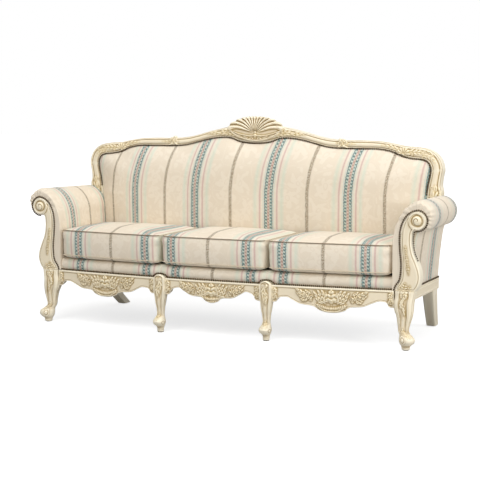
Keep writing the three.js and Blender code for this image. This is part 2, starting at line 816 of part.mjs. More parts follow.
function blockOutline(y, way, toward) {
  return [
    flatPoint(blockX, y),
    flatPoint(blockX, y + way * blockReach),
    flatPoint(blockX - blockWidth, y + way * blockReach),
    flatPoint(blockX - blockReach, y + way * blockWidth),
    flatPoint(blockX - blockReach, y + toward),
    flatPoint(cornerLegInner - jointGap, y + toward),
    flatPoint(cornerLegInner - jointGap, y),
  ];
}

const screwSides = 8;
function screw(y, clearance) {
  const radius = screwRadius + clearance;
  const headRadius = screwHeadRadius + clearance;
  const tip = blockX - blockWidth + screwLength + clearance;
  const head = blockX - blockWidth - screwHeadHeight;
  const profile = [
    flatPoint(0, head - clearance),
    flatPoint(headRadius, head - clearance),
    flatPoint(headRadius, blockX - blockWidth + (clearance ? 0 : -jointGap)),
    flatPoint(radius, blockX - blockWidth + (clearance ? 0 : -jointGap)),
    flatPoint(radius, tip),
    flatPoint(0, tip),
  ];
  const turned = new THREE.LatheGeometry(profile, screwSides).rotateZ(-Math.PI / 2);
  return turned.translate(0, y, screwZ);
}

const screwInset = 10;
const frontScrewY = frontBlockY + blockReach - screwInset;
const rearScrewY = rearBlockY - blockReach + screwInset;
const frontBlock = level(blockOutline(frontBlockY, 1, -screwInset), blockBottom, blockTop);
const rearBlock = level(blockOutline(rearBlockY, -1, screwInset), blockBottom, blockTop);
addPair("front_corner_block", cut(frontBlock, screw(frontScrewY, jointGap)), bareWood);
addPair("rear_corner_block", cut(rearBlock, screw(rearScrewY, jointGap)), bareWood);
for (const side of ["right", "left"]) {
  const rail = sofa.getObjectByName(`side_rail_${side}`);
  const holes = [screw(frontScrewY, jointGap), screw(rearScrewY, jointGap)];
  rail.geometry = cut(rail.geometry, ...(side === "left" ? holes.map(mirrored) : holes));
}
addPair("front_block_screw", screw(frontScrewY, 0), steel);
addPair("rear_block_screw", screw(rearScrewY, 0), steel);

// Seat webbing, one net over each bay: long strips to the rear rail, cross strips between them
const webbingBottom = railTop + jointGap;
const webbingBack = backPanelFront - softGap;
const crossFront = facingBack + softGap;
const crossBack = frameFace - softGap;

function strip(x0, x1, y0, y1) {
  return [[x0, y0], [x1, y0], [x1, y1], [x0, y1]];
}

function net(from, to, crossTo) {
  const strips = [];
  for (let i = 0; i < webbingStrips; i += 1) {
    const share = i / (webbingStrips - 1);
    const x = THREE.MathUtils.lerp(from, to - webbingWidth, share);
    const y = THREE.MathUtils.lerp(crossFront, crossBack - webbingWidth, share);
    const furthest = Math.max(Math.abs(x), Math.abs(x + webbingWidth));
    const front = frontSweep(furthest) + apronThickness / 2;
    strips.push(strip(x, x + webbingWidth, front, webbingBack));
    strips.push(strip(from, crossTo, y, y + webbingWidth));
  }
  const plan = new wasm.CrossSection(strips, "Positive");
  return fromManifold(plan.extrude(webbingThickness)).translate(0, 0, webbingBottom);
}

const bayEdge = middleLegX + softGap;
const bayOuter = postInnerAtRail - softGap;
const webbingOuter = sideRailInner + sideRailThickness / 2;
addPair("seat_webbing", net(bayEdge, bayOuter, webbingOuter), jute);
add("seat_webbing_middle", net(-bayEdge + 2 * softGap, bayEdge - 2 * softGap, bayEdge - 2 * softGap), jute());

// Seat deck and its stuffed front border
const deckHalf = seatHalfWidth - softGap;
const borderBottom = deckBottom;
const borderSwellShare = 0.06;
const borderShares = [
  [0, 0], [-borderSwellShare, 0.35], [-0.04, 0.7], [0.12, 0.95], [0.35, 1], [1, 1], [1, 0],
];
const borderSteps = 24;
const borderXs = rowsBetween(-deckHalf, deckHalf, borderSteps / (2 * deckHalf));
add("seat_front_border", loft(borderXs.map((x) => borderShares.map(([back, up]) => new THREE.Vector3(
  x,
  frontSweep(x) + borderSetback + back * borderDepth,
  borderBottom + up * (deckTop - borderBottom),
)))), damask());
const deckEnd = backFront - softGap;
const deckFront = borderXs.map((x) => flatPoint(x, frontSweep(x) + borderSetback + borderDepth + softGap));
add("seat_deck", level([
  ...deckFront, flatPoint(deckHalf, deckEnd), flatPoint(-deckHalf, deckEnd),
], deckBottom, deckTop), lining());

// Loose seat cushions: crowned, with sides that draw in between the corners
const cushionBottom = deckTop + jointGap;
const cushionEdgeTop = cushionBottom + cushionHeight;
const cushionBack = backFront - backPadBulge - liftGap;
const cushionFrontY = railFront - cushionOverhang;
const cushionPoints = 40;
const cushionSquareness = 9;
// Each row: rise as a share of the box height, spread as a share of the half size, crown share.
const cushionShares = [
  [0, 0.9, 0], [0.02, 0.97, 0], [0.1, 1, 0], [0.5, 0.985, 0], [0.9, 1, 0], [1, 0.975, 0],
  [1, 0.9, 0.3], [1, 0.74, 0.66], [1, 0.5, 0.9], [1, 0.22, 1],
];

function cushion(from, to) {
  const halfX = (to - from) / 2;
  const centreX = (from + to) / 2;
  const rings = cushionShares.map(([rise, spread, crown]) => {
    const z = cushionBottom + rise * cushionHeight + crown * cushionCrown;
    return Array.from({ length: cushionPoints }, (_, i) => {
      const angle = (i + 0.5) * 2 * Math.PI / cushionPoints;
      const radius = squareRadius(angle, 1, 1, cushionSquareness);
      const u = radius * Math.cos(angle);
      const v = radius * Math.sin(angle);
      const pullX = cushionPull * (1 - v * v) * Math.sign(u) * Math.abs(u) ** 3;
      const pullY = cushionPull * (1 - u * u) * Math.sign(v) * Math.abs(v) ** 3;
      const x = centreX + spread * (u * halfX - pullX);
      const sweep = (frontSweep(x) - railFront) * (1 - v) / 2;
      const halfY = (cushionBack - cushionFrontY) / 2;
      const y = (cushionBack + cushionFrontY) / 2 + spread * (v * halfY - pullY) + sweep;
      return new THREE.Vector3(x, y, z);
    });
  });
  return loft(rings);
}

const cushionInner = middleLegX;
const cushionOuter = seatHalfWidth - liftGap;
addPair("seat_cushion", cushion(cushionInner + cushionGap / 2, cushionOuter), damask);
add("seat_cushion_middle", cushion(-cushionInner + cushionGap / 2, cushionInner - cushionGap / 2), damask());

// Dust cover under the seat frame
const coverSide = sideRailInner + coverMargin;
const coverLegX = cornerLegInner - coverMargin;
const coverFrontShare = 0.25;
const coverFront = facingBack - coverFrontShare * cornerSweep;
const coverOutline = [
  flatPoint(coverLegX, coverFront), flatPoint(coverLegX, facingBack + coverMargin),
  flatPoint(coverSide, facingBack + coverMargin),
  flatPoint(coverSide, backFace - rearLegDepth - coverMargin),
  flatPoint(rearLegOuter() - rearLegWidth - coverMargin, backFace - rearLegDepth - coverMargin),
  flatPoint(rearLegOuter() - rearLegWidth - coverMargin, backFace - coverMargin),
];
add("dust_cover", level([
  ...coverOutline,
  ...coverOutline.map((point) => flatPoint(-point.x, point.y)).reverse(),
], railBottom - jointGap - coverThickness, railBottom - jointGap), lining());

// Glides
const glideTaperShare = 0.9;
const glideSides = 16;
function glide(x, y) {
  return new THREE.CylinderGeometry(glideRadius, glideTaperShare * glideRadius, glideHeight, glideSides)
    .rotateX(Math.PI / 2)
    .translate(x, y, glideHeight / 2);
}
const rearFoot = rearLegRing(1);
const rearFootX = rearFoot.reduce((sum, point) => sum + point.x, 0) / rearFoot.length;
const rearFootY = rearFoot.reduce((sum, point) => sum + point.y, 0) / rearFoot.length;
addPair("front_corner_glide", glide(cornerLegX, cornerFootY), plastic);
addPair("front_middle_glide", glide(middleLegX, middleFootY), plastic);
addPair("rear_glide", glide(rearFootX, rearFootY), plastic);

// Nail trims
const backTrimEndRow = armRow - 0.5;
const backTrimRingsPerRow = 1.2;
const backTrimRows = rowsBetween(-backTrimEndRow, backTrimEndRow, backTrimRingsPerRow);
add("back_nail_trim", loft(backTrimRows.map((row) => {
  const inner = frameEdge(innerCurve, row);
  const outward = frameEdge(outerCurve, row).sub(inner).normalize();
  const wood = inner.clone().addScaledVector(outward, trimOnWood);
  const fabric = inner.clone().addScaledVector(outward, trimOnWood - trimWidth);
  const at = (point, y) => new THREE.Vector3(point.x, y, point.z);
  return [
    at(wood, backFront - jointGap), at(wood, backFront - trimHeight),
    at(fabric, backFront - trimHeight), at(fabric, backFront - jointGap),
  ];
})), bronze());

const armTrimPoints = facingInnerShares.length + voluteSteps;
const trimNear = widened(facingOutline, jointGap).slice(1, armTrimPoints + 1);
const trimFar = widened(facingOutline, jointGap + trimWidth).slice(1, armTrimPoints + 1);
addPair("arm_nail_trim", loft(trimNear.map((near, i) => {
  const at = (point, y) => new THREE.Vector3(point.x, y, point.y);
  return [
    at(near, armPadFront - jointGap), at(near, armPadFront - trimHeight),
    at(trimFar[i], armPadFront - trimHeight), at(trimFar[i], armPadFront - jointGap),
  ];
})), bronze);

const railTrimSteps = 12;
function railTrim(from, to) {
  return loft(rowsBetween(from, to, railTrimSteps / (to - from)).map((x) => {
    const back = frontSweep(x) + borderSetback - borderSwellShare * borderDepth - jointGap;
    return [
      new THREE.Vector3(x, back - trimHeight, railTop + jointGap),
      new THREE.Vector3(x, back, railTop + jointGap),
      new THREE.Vector3(x, back, railTop + jointGap + trimWidth),
      new THREE.Vector3(x, back - trimHeight, railTop + jointGap + trimWidth),
    ];
  }));
}
addPair("front_nail_trim", railTrim(middleLegX + middleLegSide, deckHalf), bronze);
add("front_nail_trim_middle", railTrim(-middleLegX + middleLegSide, middleLegX - middleLegSide), bronze());
const sideTrimInner = armPanelOuter[1].x + jointGap;
addPair("side_nail_trim", box(
  sideTrimInner, sideTrimInner + trimHeight, facingBack + jointGap, backFace,
  railTop + jointGap, railTop + jointGap + trimWidth,
), bronze);

export default sofa;
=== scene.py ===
"""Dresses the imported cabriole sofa: carved show wood in cream paint with an antique gold glaze, striped
damask upholstery, loose cushions and rows of browned brass nails.

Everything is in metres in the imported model's own frame. Sizes inside carvings are in millimetres.
"""
from contextlib import contextmanager
from math import pi, radians

import bmesh
import bpy
import numpy as np
from bpy.props import FloatProperty, FloatVectorProperty, PointerProperty
from mathutils import Matrix, Vector


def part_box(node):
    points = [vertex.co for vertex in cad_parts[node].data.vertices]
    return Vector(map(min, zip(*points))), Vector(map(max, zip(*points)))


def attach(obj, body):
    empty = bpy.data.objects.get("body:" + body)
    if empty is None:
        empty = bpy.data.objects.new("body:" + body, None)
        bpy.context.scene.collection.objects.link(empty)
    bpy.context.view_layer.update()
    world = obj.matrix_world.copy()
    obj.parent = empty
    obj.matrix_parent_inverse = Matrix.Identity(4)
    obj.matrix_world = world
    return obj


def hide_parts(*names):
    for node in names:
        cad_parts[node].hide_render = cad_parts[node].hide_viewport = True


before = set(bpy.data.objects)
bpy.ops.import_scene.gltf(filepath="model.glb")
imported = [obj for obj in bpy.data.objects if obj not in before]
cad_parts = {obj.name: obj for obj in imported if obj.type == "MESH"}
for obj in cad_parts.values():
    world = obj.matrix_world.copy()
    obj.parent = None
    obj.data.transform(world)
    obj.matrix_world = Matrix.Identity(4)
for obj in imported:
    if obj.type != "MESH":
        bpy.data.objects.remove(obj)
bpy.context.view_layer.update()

bl_info = {
    "name": "Cabriole sofa",
    "version": (1, 0, 0),
    "blender": (4, 5, 0),
    "location": "3D View > Sidebar > Sofa",
    "description": "Builds the carving, upholstery and nails of a cabriole sofa on its packed frame",
    "category": "Object",
}

MM = 0.001

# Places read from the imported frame
FRAME_LOW, FRAME_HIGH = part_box("crest_rail")
FACING_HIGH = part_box("arm_facing_right")[1]
PAD_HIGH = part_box("arm_pad_right")[1]
APRON_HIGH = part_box("front_apron_right")[1]
MIDDLE_APRON_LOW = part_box("front_apron_middle")[0]
LEG_LOW, LEG_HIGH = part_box("front_corner_leg_right")
MIDDLE_LEG_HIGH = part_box("front_middle_leg_right")[1]
DECK_LOW, DECK_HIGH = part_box("seat_deck")
SHELL_LOW, SHELL_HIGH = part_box("crest_shell")
MOULDING_PROUD = 2.8 * MM
FRAME_FACE = FRAME_LOW.y
BACK_FRONT = FRAME_FACE + MOULDING_PROUD
BACK_FACE = FRAME_HIGH.y
RAIL_TOP = APRON_HIGH.z
RAIL_FRONT = MIDDLE_APRON_LOW.y + 3 * MM
SEAT_HALF = DECK_HIGH.x + 0.5 * MM
SHELL_TOP = SHELL_HIGH.z + 0.3 * MM
DECK_TOP = DECK_HIGH.z
ARM_TOP = PAD_HIGH.z
ARM_WIDTH = PAD_HIGH.x - SEAT_HALF + 1.2 * MM
ROLL_DRIFT = 18 * MM
BAY_SEAM = 0.283
WELD = 0.01 * MM
CORNER_SWEEP = 62 * MM
BACK_SPREAD = 101 * MM


# Curves and meshes

def spline(table, rows, even=False):
    """Points on the smooth curve through the rows of a table, at row numbers that needn't be whole."""
    points = np.asarray(table, float)
    rows = np.asarray(rows, float)
    ends = np.vstack([2 * points[0] - points[1], points, 2 * points[-1] - points[-2]])
    first = np.clip(np.floor(rows).astype(int), 0, len(points) - 2)
    share = (rows - first)[..., None]
    p0, p1, p2, p3 = (ends[first + k] for k in range(4))
    gaps = [np.ones(share.shape)] * 3
    if not even:
        gaps = [np.maximum(np.linalg.norm(b - a, axis=-1, keepdims=True), 1e-9) ** 0.5
                for a, b in ((p0, p1), (p1, p2), (p2, p3))]
    start = ((p1 - p0) / gaps[0] - (p2 - p0) / (gaps[0] + gaps[1]) + (p2 - p1) / gaps[1]) * gaps[1]
    end = ((p2 - p1) / gaps[1] - (p3 - p1) / (gaps[1] + gaps[2]) + (p3 - p2) / gaps[2]) * gaps[1]
    return (p1 + start * share + (3 * (p2 - p1) - 2 * start - end) * share ** 2
            + (2 * (p1 - p2) + start + end) * share ** 3)


def lengths(points):
    """The distance along a row of points, from the first to each."""
    return np.concatenate([[0], np.cumsum(np.linalg.norm(np.diff(points, axis=0), axis=1))])


def even_rows(curve, start, stop, count):
    """Row numbers that space points evenly along a curve, and the curve's length between them."""
    rows = np.linspace(start, stop, 1500)
    along = lengths(curve(rows))
    return np.interp(np.linspace(0, along[-1], count), along, rows), along[-1]


def smooth_path(points, per_step=10):
    """A smooth row of points through the given ones."""
    return spline(points, np.linspace(0, len(points) - 1, per_step * (len(points) - 1) + 1))


def profile(table, share):
    """The height of a moulding's section at shares of its width."""
    places = np.linspace(0, len(table) - 1, 40 * len(table))
    drawn = spline(table, places, even=True)
    order = np.argsort(drawn[:, 0])
    return np.interp(share, drawn[order, 0], drawn[order, 1])


def sample(at, places, table):
    """The rows of a table, read at values between the places that its rows stand for."""
    return np.stack([np.interp(at, places, column) for column in table.T], 1)


def ease(value):
    """0 up to 0 and 1 from 1, smooth between."""
    value = np.clip(value, 0, 1)
    return value * value * (3 - 2 * value)


def peak(value, middle, spread):
    """1 at the middle, falling off smoothly on both sides."""
    return np.exp(-((value - middle) / spread) ** 2)


def half_round(value, radius):
    """The height of a half circle of height 1, at a distance from its middle."""
    return np.sqrt(np.clip(1 - (value / radius) ** 2, 0, 1))


def rounded_square(angle, power):
    """A point on a square from -1 to 1, at an angle. A higher power makes its corners sharper."""
    radius = (np.abs(np.cos(angle)) ** power + np.abs(np.sin(angle)) ** power) ** (-1 / power)
    return radius * np.cos(angle), radius * np.sin(angle)


def around(share, parts):
    """Where a share of the way round a board's section falls: the side (0 front, 1 far edge, 2 back and
    3 near edge), the shares across the front and from front to back, and the share along that side."""
    edges = np.cumsum([0] + list(parts)) / sum(parts)
    side = np.clip(np.searchsorted(edges, share + 1e-9, side="right") - 1, 0, len(parts) - 1)
    share = (share - edges[side]) / (edges[side + 1] - edges[side])
    across = np.choose(side, [share, 1 + 0 * share, 1 - share, 0 * share])
    back = np.choose(side, [0 * share, share, 1 + 0 * share, 1 - share])
    return side, across, back, share


def read_points(data):
    points = np.empty(len(data.vertices) * 3, np.float32)
    data.vertices.foreach_get("co", points)
    return points.reshape(-1, 3).astype(float)


def write_points(data, points):
    data.vertices.foreach_set("co", np.asarray(points, np.float32).ravel())
    data.update()


def set_values(data, name, values):
    """Stores one value for each point of a mesh, for its material to read."""
    layer = data.attributes.get(name) or data.attributes.new(name, "FLOAT", "POINT")
    layer.data.foreach_set("value", np.asarray(values, np.float32))


def set_cloth_map(data, across, along):
    """Stores the cloth's own coordinates in metres: across its stripes and along them."""
    layer = data.uv_layers.get("cloth") or data.uv_layers.new(name="cloth")
    corner = np.empty(len(data.loops), np.int32)
    data.loops.foreach_get("vertex_index", corner)
    pairs = np.stack([np.asarray(across)[corner], np.asarray(along)[corner]], 1)
    layer.data.foreach_set("uv", pairs.astype(np.float32).ravel())


@contextmanager
def editing(data):
    """Opens a mesh for bmesh operators, and stores it again."""
    mesh = bmesh.new()
    mesh.from_mesh(data)
    yield mesh
    mesh.to_mesh(data)
    mesh.free()


def new_piece(name, data):
    """Puts a mesh, or a lamp's or camera's data, in the scene."""
    piece = bpy.data.objects.new(name, data)
    bpy.context.scene.collection.objects.link(piece)
    return piece


def new_grid(name, columns, rows, size=0.5):
    """A flat square mesh in columns and rows, about the origin."""
    data = bpy.data.meshes.new(name)
    with editing(data) as mesh:
        bmesh.ops.create_grid(mesh, x_segments=columns, y_segments=rows, size=size)
    return data


def sheet(name, columns, rows, place, ends=True):
    """A grid carried to its place. place takes shares across and along the grid, and returns points in
    metres and a dictionary of values for the finish. Edges that meet are welded, and ends fills holes."""
    data = new_grid(name, columns, rows)
    flat = read_points(data) + 0.5
    points, values = place(flat[:, 0], flat[:, 1])
    write_points(data, points)
    cloth = values.pop("cloth", None)
    if cloth is not None:
        set_cloth_map(data, *cloth)
    for key, value in values.items():
        set_values(data, key, value)
    finish_mesh(data, ends)
    return new_piece(name, data)


def shade(data):
    """Smooth shading that breaks at sharp edges."""
    data.shade_smooth()
    data.set_sharp_from_angle(angle=radians(50))


def finish_mesh(data, ends=True):
    """Welds, closes and turns a mesh's faces outwards, and shades it smooth."""
    with editing(data) as mesh:
        bmesh.ops.remove_doubles(mesh, verts=mesh.verts, dist=WELD)
        if ends:
            open_edges = [edge for edge in mesh.edges if edge.is_boundary]
            bmesh.ops.holes_fill(mesh, edges=open_edges, sides=0)
            caps = [face for face in mesh.faces if len(face.verts) > 4]
            bmesh.ops.triangulate(mesh, faces=caps)
        bmesh.ops.recalc_face_normals(mesh, faces=mesh.faces)
    shade(data)


def backed(piece, y):
    """Carries the rim of an open front straight back to a plane, and closes it there."""
    with editing(piece.data) as mesh:
        bmesh.ops.remove_doubles(mesh, verts=mesh.verts, dist=WELD)
        rim = [edge for edge in mesh.edges if edge.is_boundary]
        for part in bmesh.ops.extrude_edge_only(mesh, edges=rim)["geom"]:
            if isinstance(part, bmesh.types.BMVert):
                part.co.y = y
    finish_mesh(piece.data)
    return piece


def mirror_piece(piece, name):
    """The left-hand twin of a right-hand piece."""
    data = piece.data.copy()
    data.name = name
    with editing(data) as mesh:
        bmesh.ops.scale(mesh, vec=(-1, 1, 1), verts=mesh.verts)
        bmesh.ops.reverse_faces(mesh, faces=mesh.faces)
    return new_piece(name, data)


def join_meshes(name, pieces):
    """One piece from several, which are removed."""
    data = bpy.data.meshes.new(name)
    with editing(data) as mesh:
        for piece in pieces:
            mesh.from_mesh(piece.data)
    for piece in pieces:
        bpy.data.objects.remove(piece)
    shade(data)
    return new_piece(name, data)


def mark_hollows(piece, depth=0.9, rounds=36):
    """Marks how far each point lies below the surface round it, in shares of a depth in millimetres: the
    glaze settles in the hollows, and the crowns, wiped of it, also carry a painted highlight."""
    data = piece.data
    points = read_points(data)
    count = len(points)
    edges = np.empty(len(data.edges) * 2, np.int32)
    data.edges.foreach_get("vertices", edges)
    a, b = edges.reshape(-1, 2).T
    degree = np.maximum(np.bincount(edges, minlength=count), 1)[:, None]
    smooth = points.copy()
    for _ in range(rounds):
        total = np.stack([np.bincount(a, smooth[b, k], count) + np.bincount(b, smooth[a, k], count)
                          for k in range(3)], 1)
        smooth = 0.5 * (smooth + total / degree)
    normals = np.empty(count * 3, np.float32)
    data.vertices.foreach_get("normal", normals)
    sunk = ((smooth - points) * normals.reshape(-1, 3)).sum(1) / (depth * MM)
    set_values(data, "hollow", np.clip(sunk, 0, 1))
    set_values(data, "crown", np.clip(-sunk, 0, 1))
    return piece


# Carving

class Relief:
    """Carving over a flat field, in millimetres. Where two forms cross, the higher one shows."""

    def __init__(self, a, b):
        self.a = a
        self.b = b
        self.height = np.zeros_like(a)
        self.gilt = np.zeros_like(a)

    def contour(self, level=0.9):
        """Marks the foot of every form, where the glaze gathers."""
        return 0.65 * peak(self.height, level, 0.8) * (self.height > 0.05)

    def raise_to(self, where, height, gilt=1.0):
        """Lays a form over the carving wherever it is the higher."""
        higher = height > self.height[where] + 0.02
        self.height[where[higher]] = height[higher]
        self.gilt[where[higher]] = gilt

    def near(self, path, reach):
        """The points within reach of a path, with their share along it and distance to its left."""
        low, high = path.min(0) - reach, path.max(0) + reach
        where = np.flatnonzero((self.a > low[0]) & (self.a < high[0])
                               & (self.b > low[1]) & (self.b < high[1]))
        a, b = self.a[where], self.b[where]
        best = np.full(len(where), 1e9)
        share = np.zeros(len(where))
        side = np.zeros(len(where))
        along = lengths(path)
        for k in range(len(path) - 1):
            way = path[k + 1] - path[k]
            da, db = a - path[k, 0], b - path[k, 1]
            step = np.clip((da * way[0] + db * way[1]) / max(way @ way, 1e-9), 0, 1)
            da, db = da - step * way[0], db - step * way[1]
            gap = da * da + db * db
            nearer = gap < best
            best[nearer] = gap[nearer]
            share[nearer] = (along[k] + step * (along[k + 1] - along[k]))[nearer] / along[-1]
            side[nearer] = np.sign(way[0] * db - way[1] * da)[nearer]
        keep = best < reach * reach
        return where[keep], share[keep], (np.sqrt(best) * side)[keep]

    def rib(self, points, width, height, taper=(0.4, 1, 1, 0.4), gilt=1.0):
        """A half-round rib along a curve."""
        where, share, side = self.near(smooth_path(points), width / 2)
        size = np.interp(share, np.linspace(0, 1, len(taper)), taper)
        across = np.clip(np.abs(side) / (size * width / 2 + 1e-6), 0, 1)
        self.raise_to(where, height * size ** 0.6 * np.sqrt(1 - across ** 2), gilt)

    def leaf(self, points, width, height, lobes=4, gilt=1.0):
        """An acanthus leaf along a curve: finger-like lobes that spring from the vein towards the tip."""
        where, share, side = self.near(smooth_path(points), width / 2)
        across = np.abs(side) / (width / 2)
        body = np.sin(pi * np.clip(0.1 + 0.9 * share, 0, 1) ** 0.7) ** 0.55
        lobe = (lobes * (share - 0.22 * across) + 0.35) % 1
        ridge = np.sin(pi * lobe) ** 0.8
        half = body * (0.6 + 0.4 * np.sin(pi * np.clip(lobe * 1.1, 0, 1)) ** 0.6) + 0.02
        inside = across < half
        edge = np.clip(across / half, 0, 1)
        vein = 1 - 0.5 * np.exp(-(across / 0.1) ** 2) * (share < 0.85)
        form = (0.38 + 0.62 * ridge) * np.sqrt(1 - edge ** 4) * vein
        self.raise_to(where[inside], (height * (0.75 + 0.25 * np.sin(pi * share)) * form)[inside], gilt)

    def scroll(self, at, radius, start, turn, width, height):
        """A spiral rib that winds in to a round eye."""
        step = np.linspace(0, 1, 16)
        reach = radius * (1 - 0.82 * step)
        angle = start + turn * step
        points = np.stack([at[0] + reach * np.cos(angle), at[1] + reach * np.sin(angle)], 1)
        self.rib(points, width, height, (0.55, 1, 0.9, 0.6))
        self.bead(at, radius * 0.24, height * 1.1)

    def bead(self, at, radius, height):
        """A round boss."""
        gap = np.hypot(self.a - at[0], self.b - at[1]) / radius
        where = np.flatnonzero(gap < 1)
        self.raise_to(where, height * np.sqrt(1 - gap[where] ** 2))

    def flower(self, at, radius, height, petals=5):
        """A small open flower with a round eye."""
        da, db = self.a - at[0], self.b - at[1]
        gap = np.hypot(da, db) / radius
        wave = np.cos(petals * np.arctan2(db, da))
        rim = 0.8 + 0.2 * wave
        where = np.flatnonzero(gap < rim)
        share = (gap / rim)[where]
        form = (0.75 + 0.25 * wave[where]) * np.sqrt(1 - share ** 4) * (0.45 + 0.55 * share)
        self.raise_to(where, height * form)
        self.bead(at, radius * 0.27, height * 1.05)

    def fan(self, at, radius, height, lobes, start, stop):
        """A spread of fluted lobes about a root."""
        da, db = self.a - at[0], self.b - at[1]
        turn = (np.arctan2(db, da) - start) / (stop - start)
        ridge = np.abs(np.sin(pi * lobes * turn)) ** 0.6
        rim = radius * (0.84 + 0.16 * ridge)
        gap = np.hypot(da, db)
        where = np.flatnonzero((turn > 0) & (turn < 1) & (gap < rim))
        share = (gap / rim)[where]
        form = (0.35 + 0.65 * ridge[where]) * (0.5 + 0.5 * share) * np.sqrt(1 - share ** 6)
        self.raise_to(where, height * form)


# Finishes

def linear(code):
    """A colour from its sRGB hex value, in the linear light that shaders take."""
    parts = [int(code[k:k + 2], 16) / 255 for k in (1, 3, 5)]
    return tuple(c / 12.92 if c <= 0.04045 else ((c + 0.055) / 1.055) ** 2.4 for c in parts) + (1.0,)


def node(tree, kind, links=None, **settings):
    """Adds a node with its settings. links gives each socket a value or another node's output."""
    made = tree.nodes.new("ShaderNode" + kind)
    for key, value in settings.items():
        setattr(made, key, value)
    for socket, source in (links or {}).items():
        if isinstance(source, bpy.types.NodeSocket):
            tree.links.new(source, made.inputs[socket])
        else:
            made.inputs[socket].default_value = source
    return made


def maths(tree, operation, *terms, clamp=False):
    made = node(tree, "Math", dict(enumerate(terms)), operation=operation, use_clamp=clamp)
    return made.outputs[0]


def mixed(tree, share, first, second):
    made = node(tree, "Mix", {0: share, 6: first, 7: second}, data_type="RGBA")
    return made.outputs[2]


def stops(tree, value, *places, smooth="LINEAR"):
    """A colour ramp. Each place is a position and a colour's hex value or a grey level."""
    made = node(tree, "ValToRGB", {0: value})
    ramp = made.color_ramp
    ramp.interpolation = smooth
    while len(ramp.elements) < len(places):
        ramp.elements.new(1.0)
    for element, (place, colour) in zip(ramp.elements, places):
        element.position = place
        element.color = linear(colour) if isinstance(colour, str) else (colour, colour, colour, 1)
    return made.outputs[0]


def noise(tree, place, size, detail=2.0):
    """Cloudy noise, by the size of its clouds in metres."""
    return node(tree, "TexNoise", {"Vector": place, "Scale": 1 / size, "Detail": detail}).outputs[0]


def ripples(tree, place, size, direction, distortion=0.0):
    """Even ripples across a direction. A size of 20 mm gives one in about 6 mm."""
    made = node(tree, "TexWave", {"Vector": place, "Scale": 1 / size, "Distortion": distortion},
                bands_direction=direction)
    return made.outputs["Fac"]


def new_finish(name, sockets):
    """A material with its surface shader. Returns it, its node tree and the shader."""
    finish = bpy.data.materials.new(name)
    finish.use_nodes = True
    tree = finish.node_tree
    tree.nodes.clear()
    shader = node(tree, "BsdfPrincipled", sockets)
    node(tree, "OutputMaterial", {"Surface": shader.outputs[0]})
    return finish, tree, shader


def bump(tree, shader, height, strength, distance):
    made = node(tree, "Bump", {"Height": height, "Strength": strength, "Distance": distance})
    tree.links.new(made.outputs[0], shader.inputs["Normal"])


def toned(name, texture, dark, light, relief, sockets):
    """A plain finish. texture makes a value from the object's own place, which gives the tones between
    two stops and, with a strength and a distance, the relief."""
    finish, tree, shader = new_finish(name, sockets)
    value = texture(tree, node(tree, "TexCoord").outputs["Object"])
    tree.links.new(stops(tree, value, dark, light), shader.inputs["Base Color"])
    if relief:
        bump(tree, shader, value, *relief)
    return finish


def glazed_paint(colours):
    """Beech, carved, brushed with cream paint, then glazed umber and gold and wiped: the glaze stays in the
    hollows. The crowns are wiped clean and painted lighter than the paint itself, a painted highlight. The
    drawn lines are glaze in the grooves, and on the shell's ribs they are also painted shade. The low sheen
    is uneven."""
    finish, tree, shader = new_finish("Glazed cream paint on carved beech", {
        "Specular IOR Level": 0.42, "Coat Weight": 0.12, "Coat Roughness": 0.3})
    place = node(tree, "TexCoord").outputs["Object"]
    cloud = noise(tree, place, 0.045, 4.0)
    brush = noise(tree, place, 0.004, 3.0)
    hollow, crown, gilt, line = (node(tree, "Attribute", attribute_name=name).outputs["Fac"]
                                 for name in ("hollow", "crown", "gilt", "line"))
    worn = maths(tree, "MULTIPLY_ADD", cloud, 0.6, 0.5, clamp=True)
    base = mixed(tree, maths(tree, "MULTIPLY", cloud, 0.22), tuple(colours.cream), linear("#E3D0AE"))
    tint = maths(tree, "MULTIPLY", gilt, maths(tree, "MULTIPLY_ADD", cloud, 0.9, 0.1), clamp=True)
    golden = mixed(tree, tint, base, tuple(colours.gold))
    # Painted highlight: the crowns turn lighter than the cream paint, beyond what wiping off the glaze
    # leaves
    pale = mixed(tree, maths(tree, "MULTIPLY", crown, 0.6), golden, linear("#F8F0DA"))
    settled = maths(tree, "MULTIPLY", maths(tree, "POWER", hollow, 0.9), worn, clamp=True)
    glazed = mixed(tree, settled, pale, tuple(colours.umber))
    # Glaze along grooves and carved outlines; on the shell's ribs this mask is also painted shade
    lines_and_shade = maths(tree, "MULTIPLY", line, maths(tree, "MULTIPLY_ADD", cloud, 0.5, 0.55), clamp=True)
    lined = mixed(tree, lines_and_shade, glazed, linear("#9C7F48"))
    tree.links.new(lined, shader.inputs["Base Color"])
    tree.links.new(maths(tree, "MULTIPLY_ADD", cloud, 0.16, 0.34), shader.inputs["Roughness"])
    bump(tree, shader, brush, 0.25, 0.0004)
    return finish


def bare_beech():
    """Sawn and planed beech, unfinished: matt, pinkish tan, with a fine grain along the board."""
    def grain(tree, place):
        drawn = node(tree, "Mapping", {"Vector": place, "Scale": (0.06, 1.0, 1.0)}).outputs[0]
        return noise(tree, drawn, 0.003, 6.0)

    return toned("Planed beech", grain, (0.35, "#A98158"), (0.65, "#D0AB7C"), (0.2, 0.0003),
                 {"Roughness": 0.7})


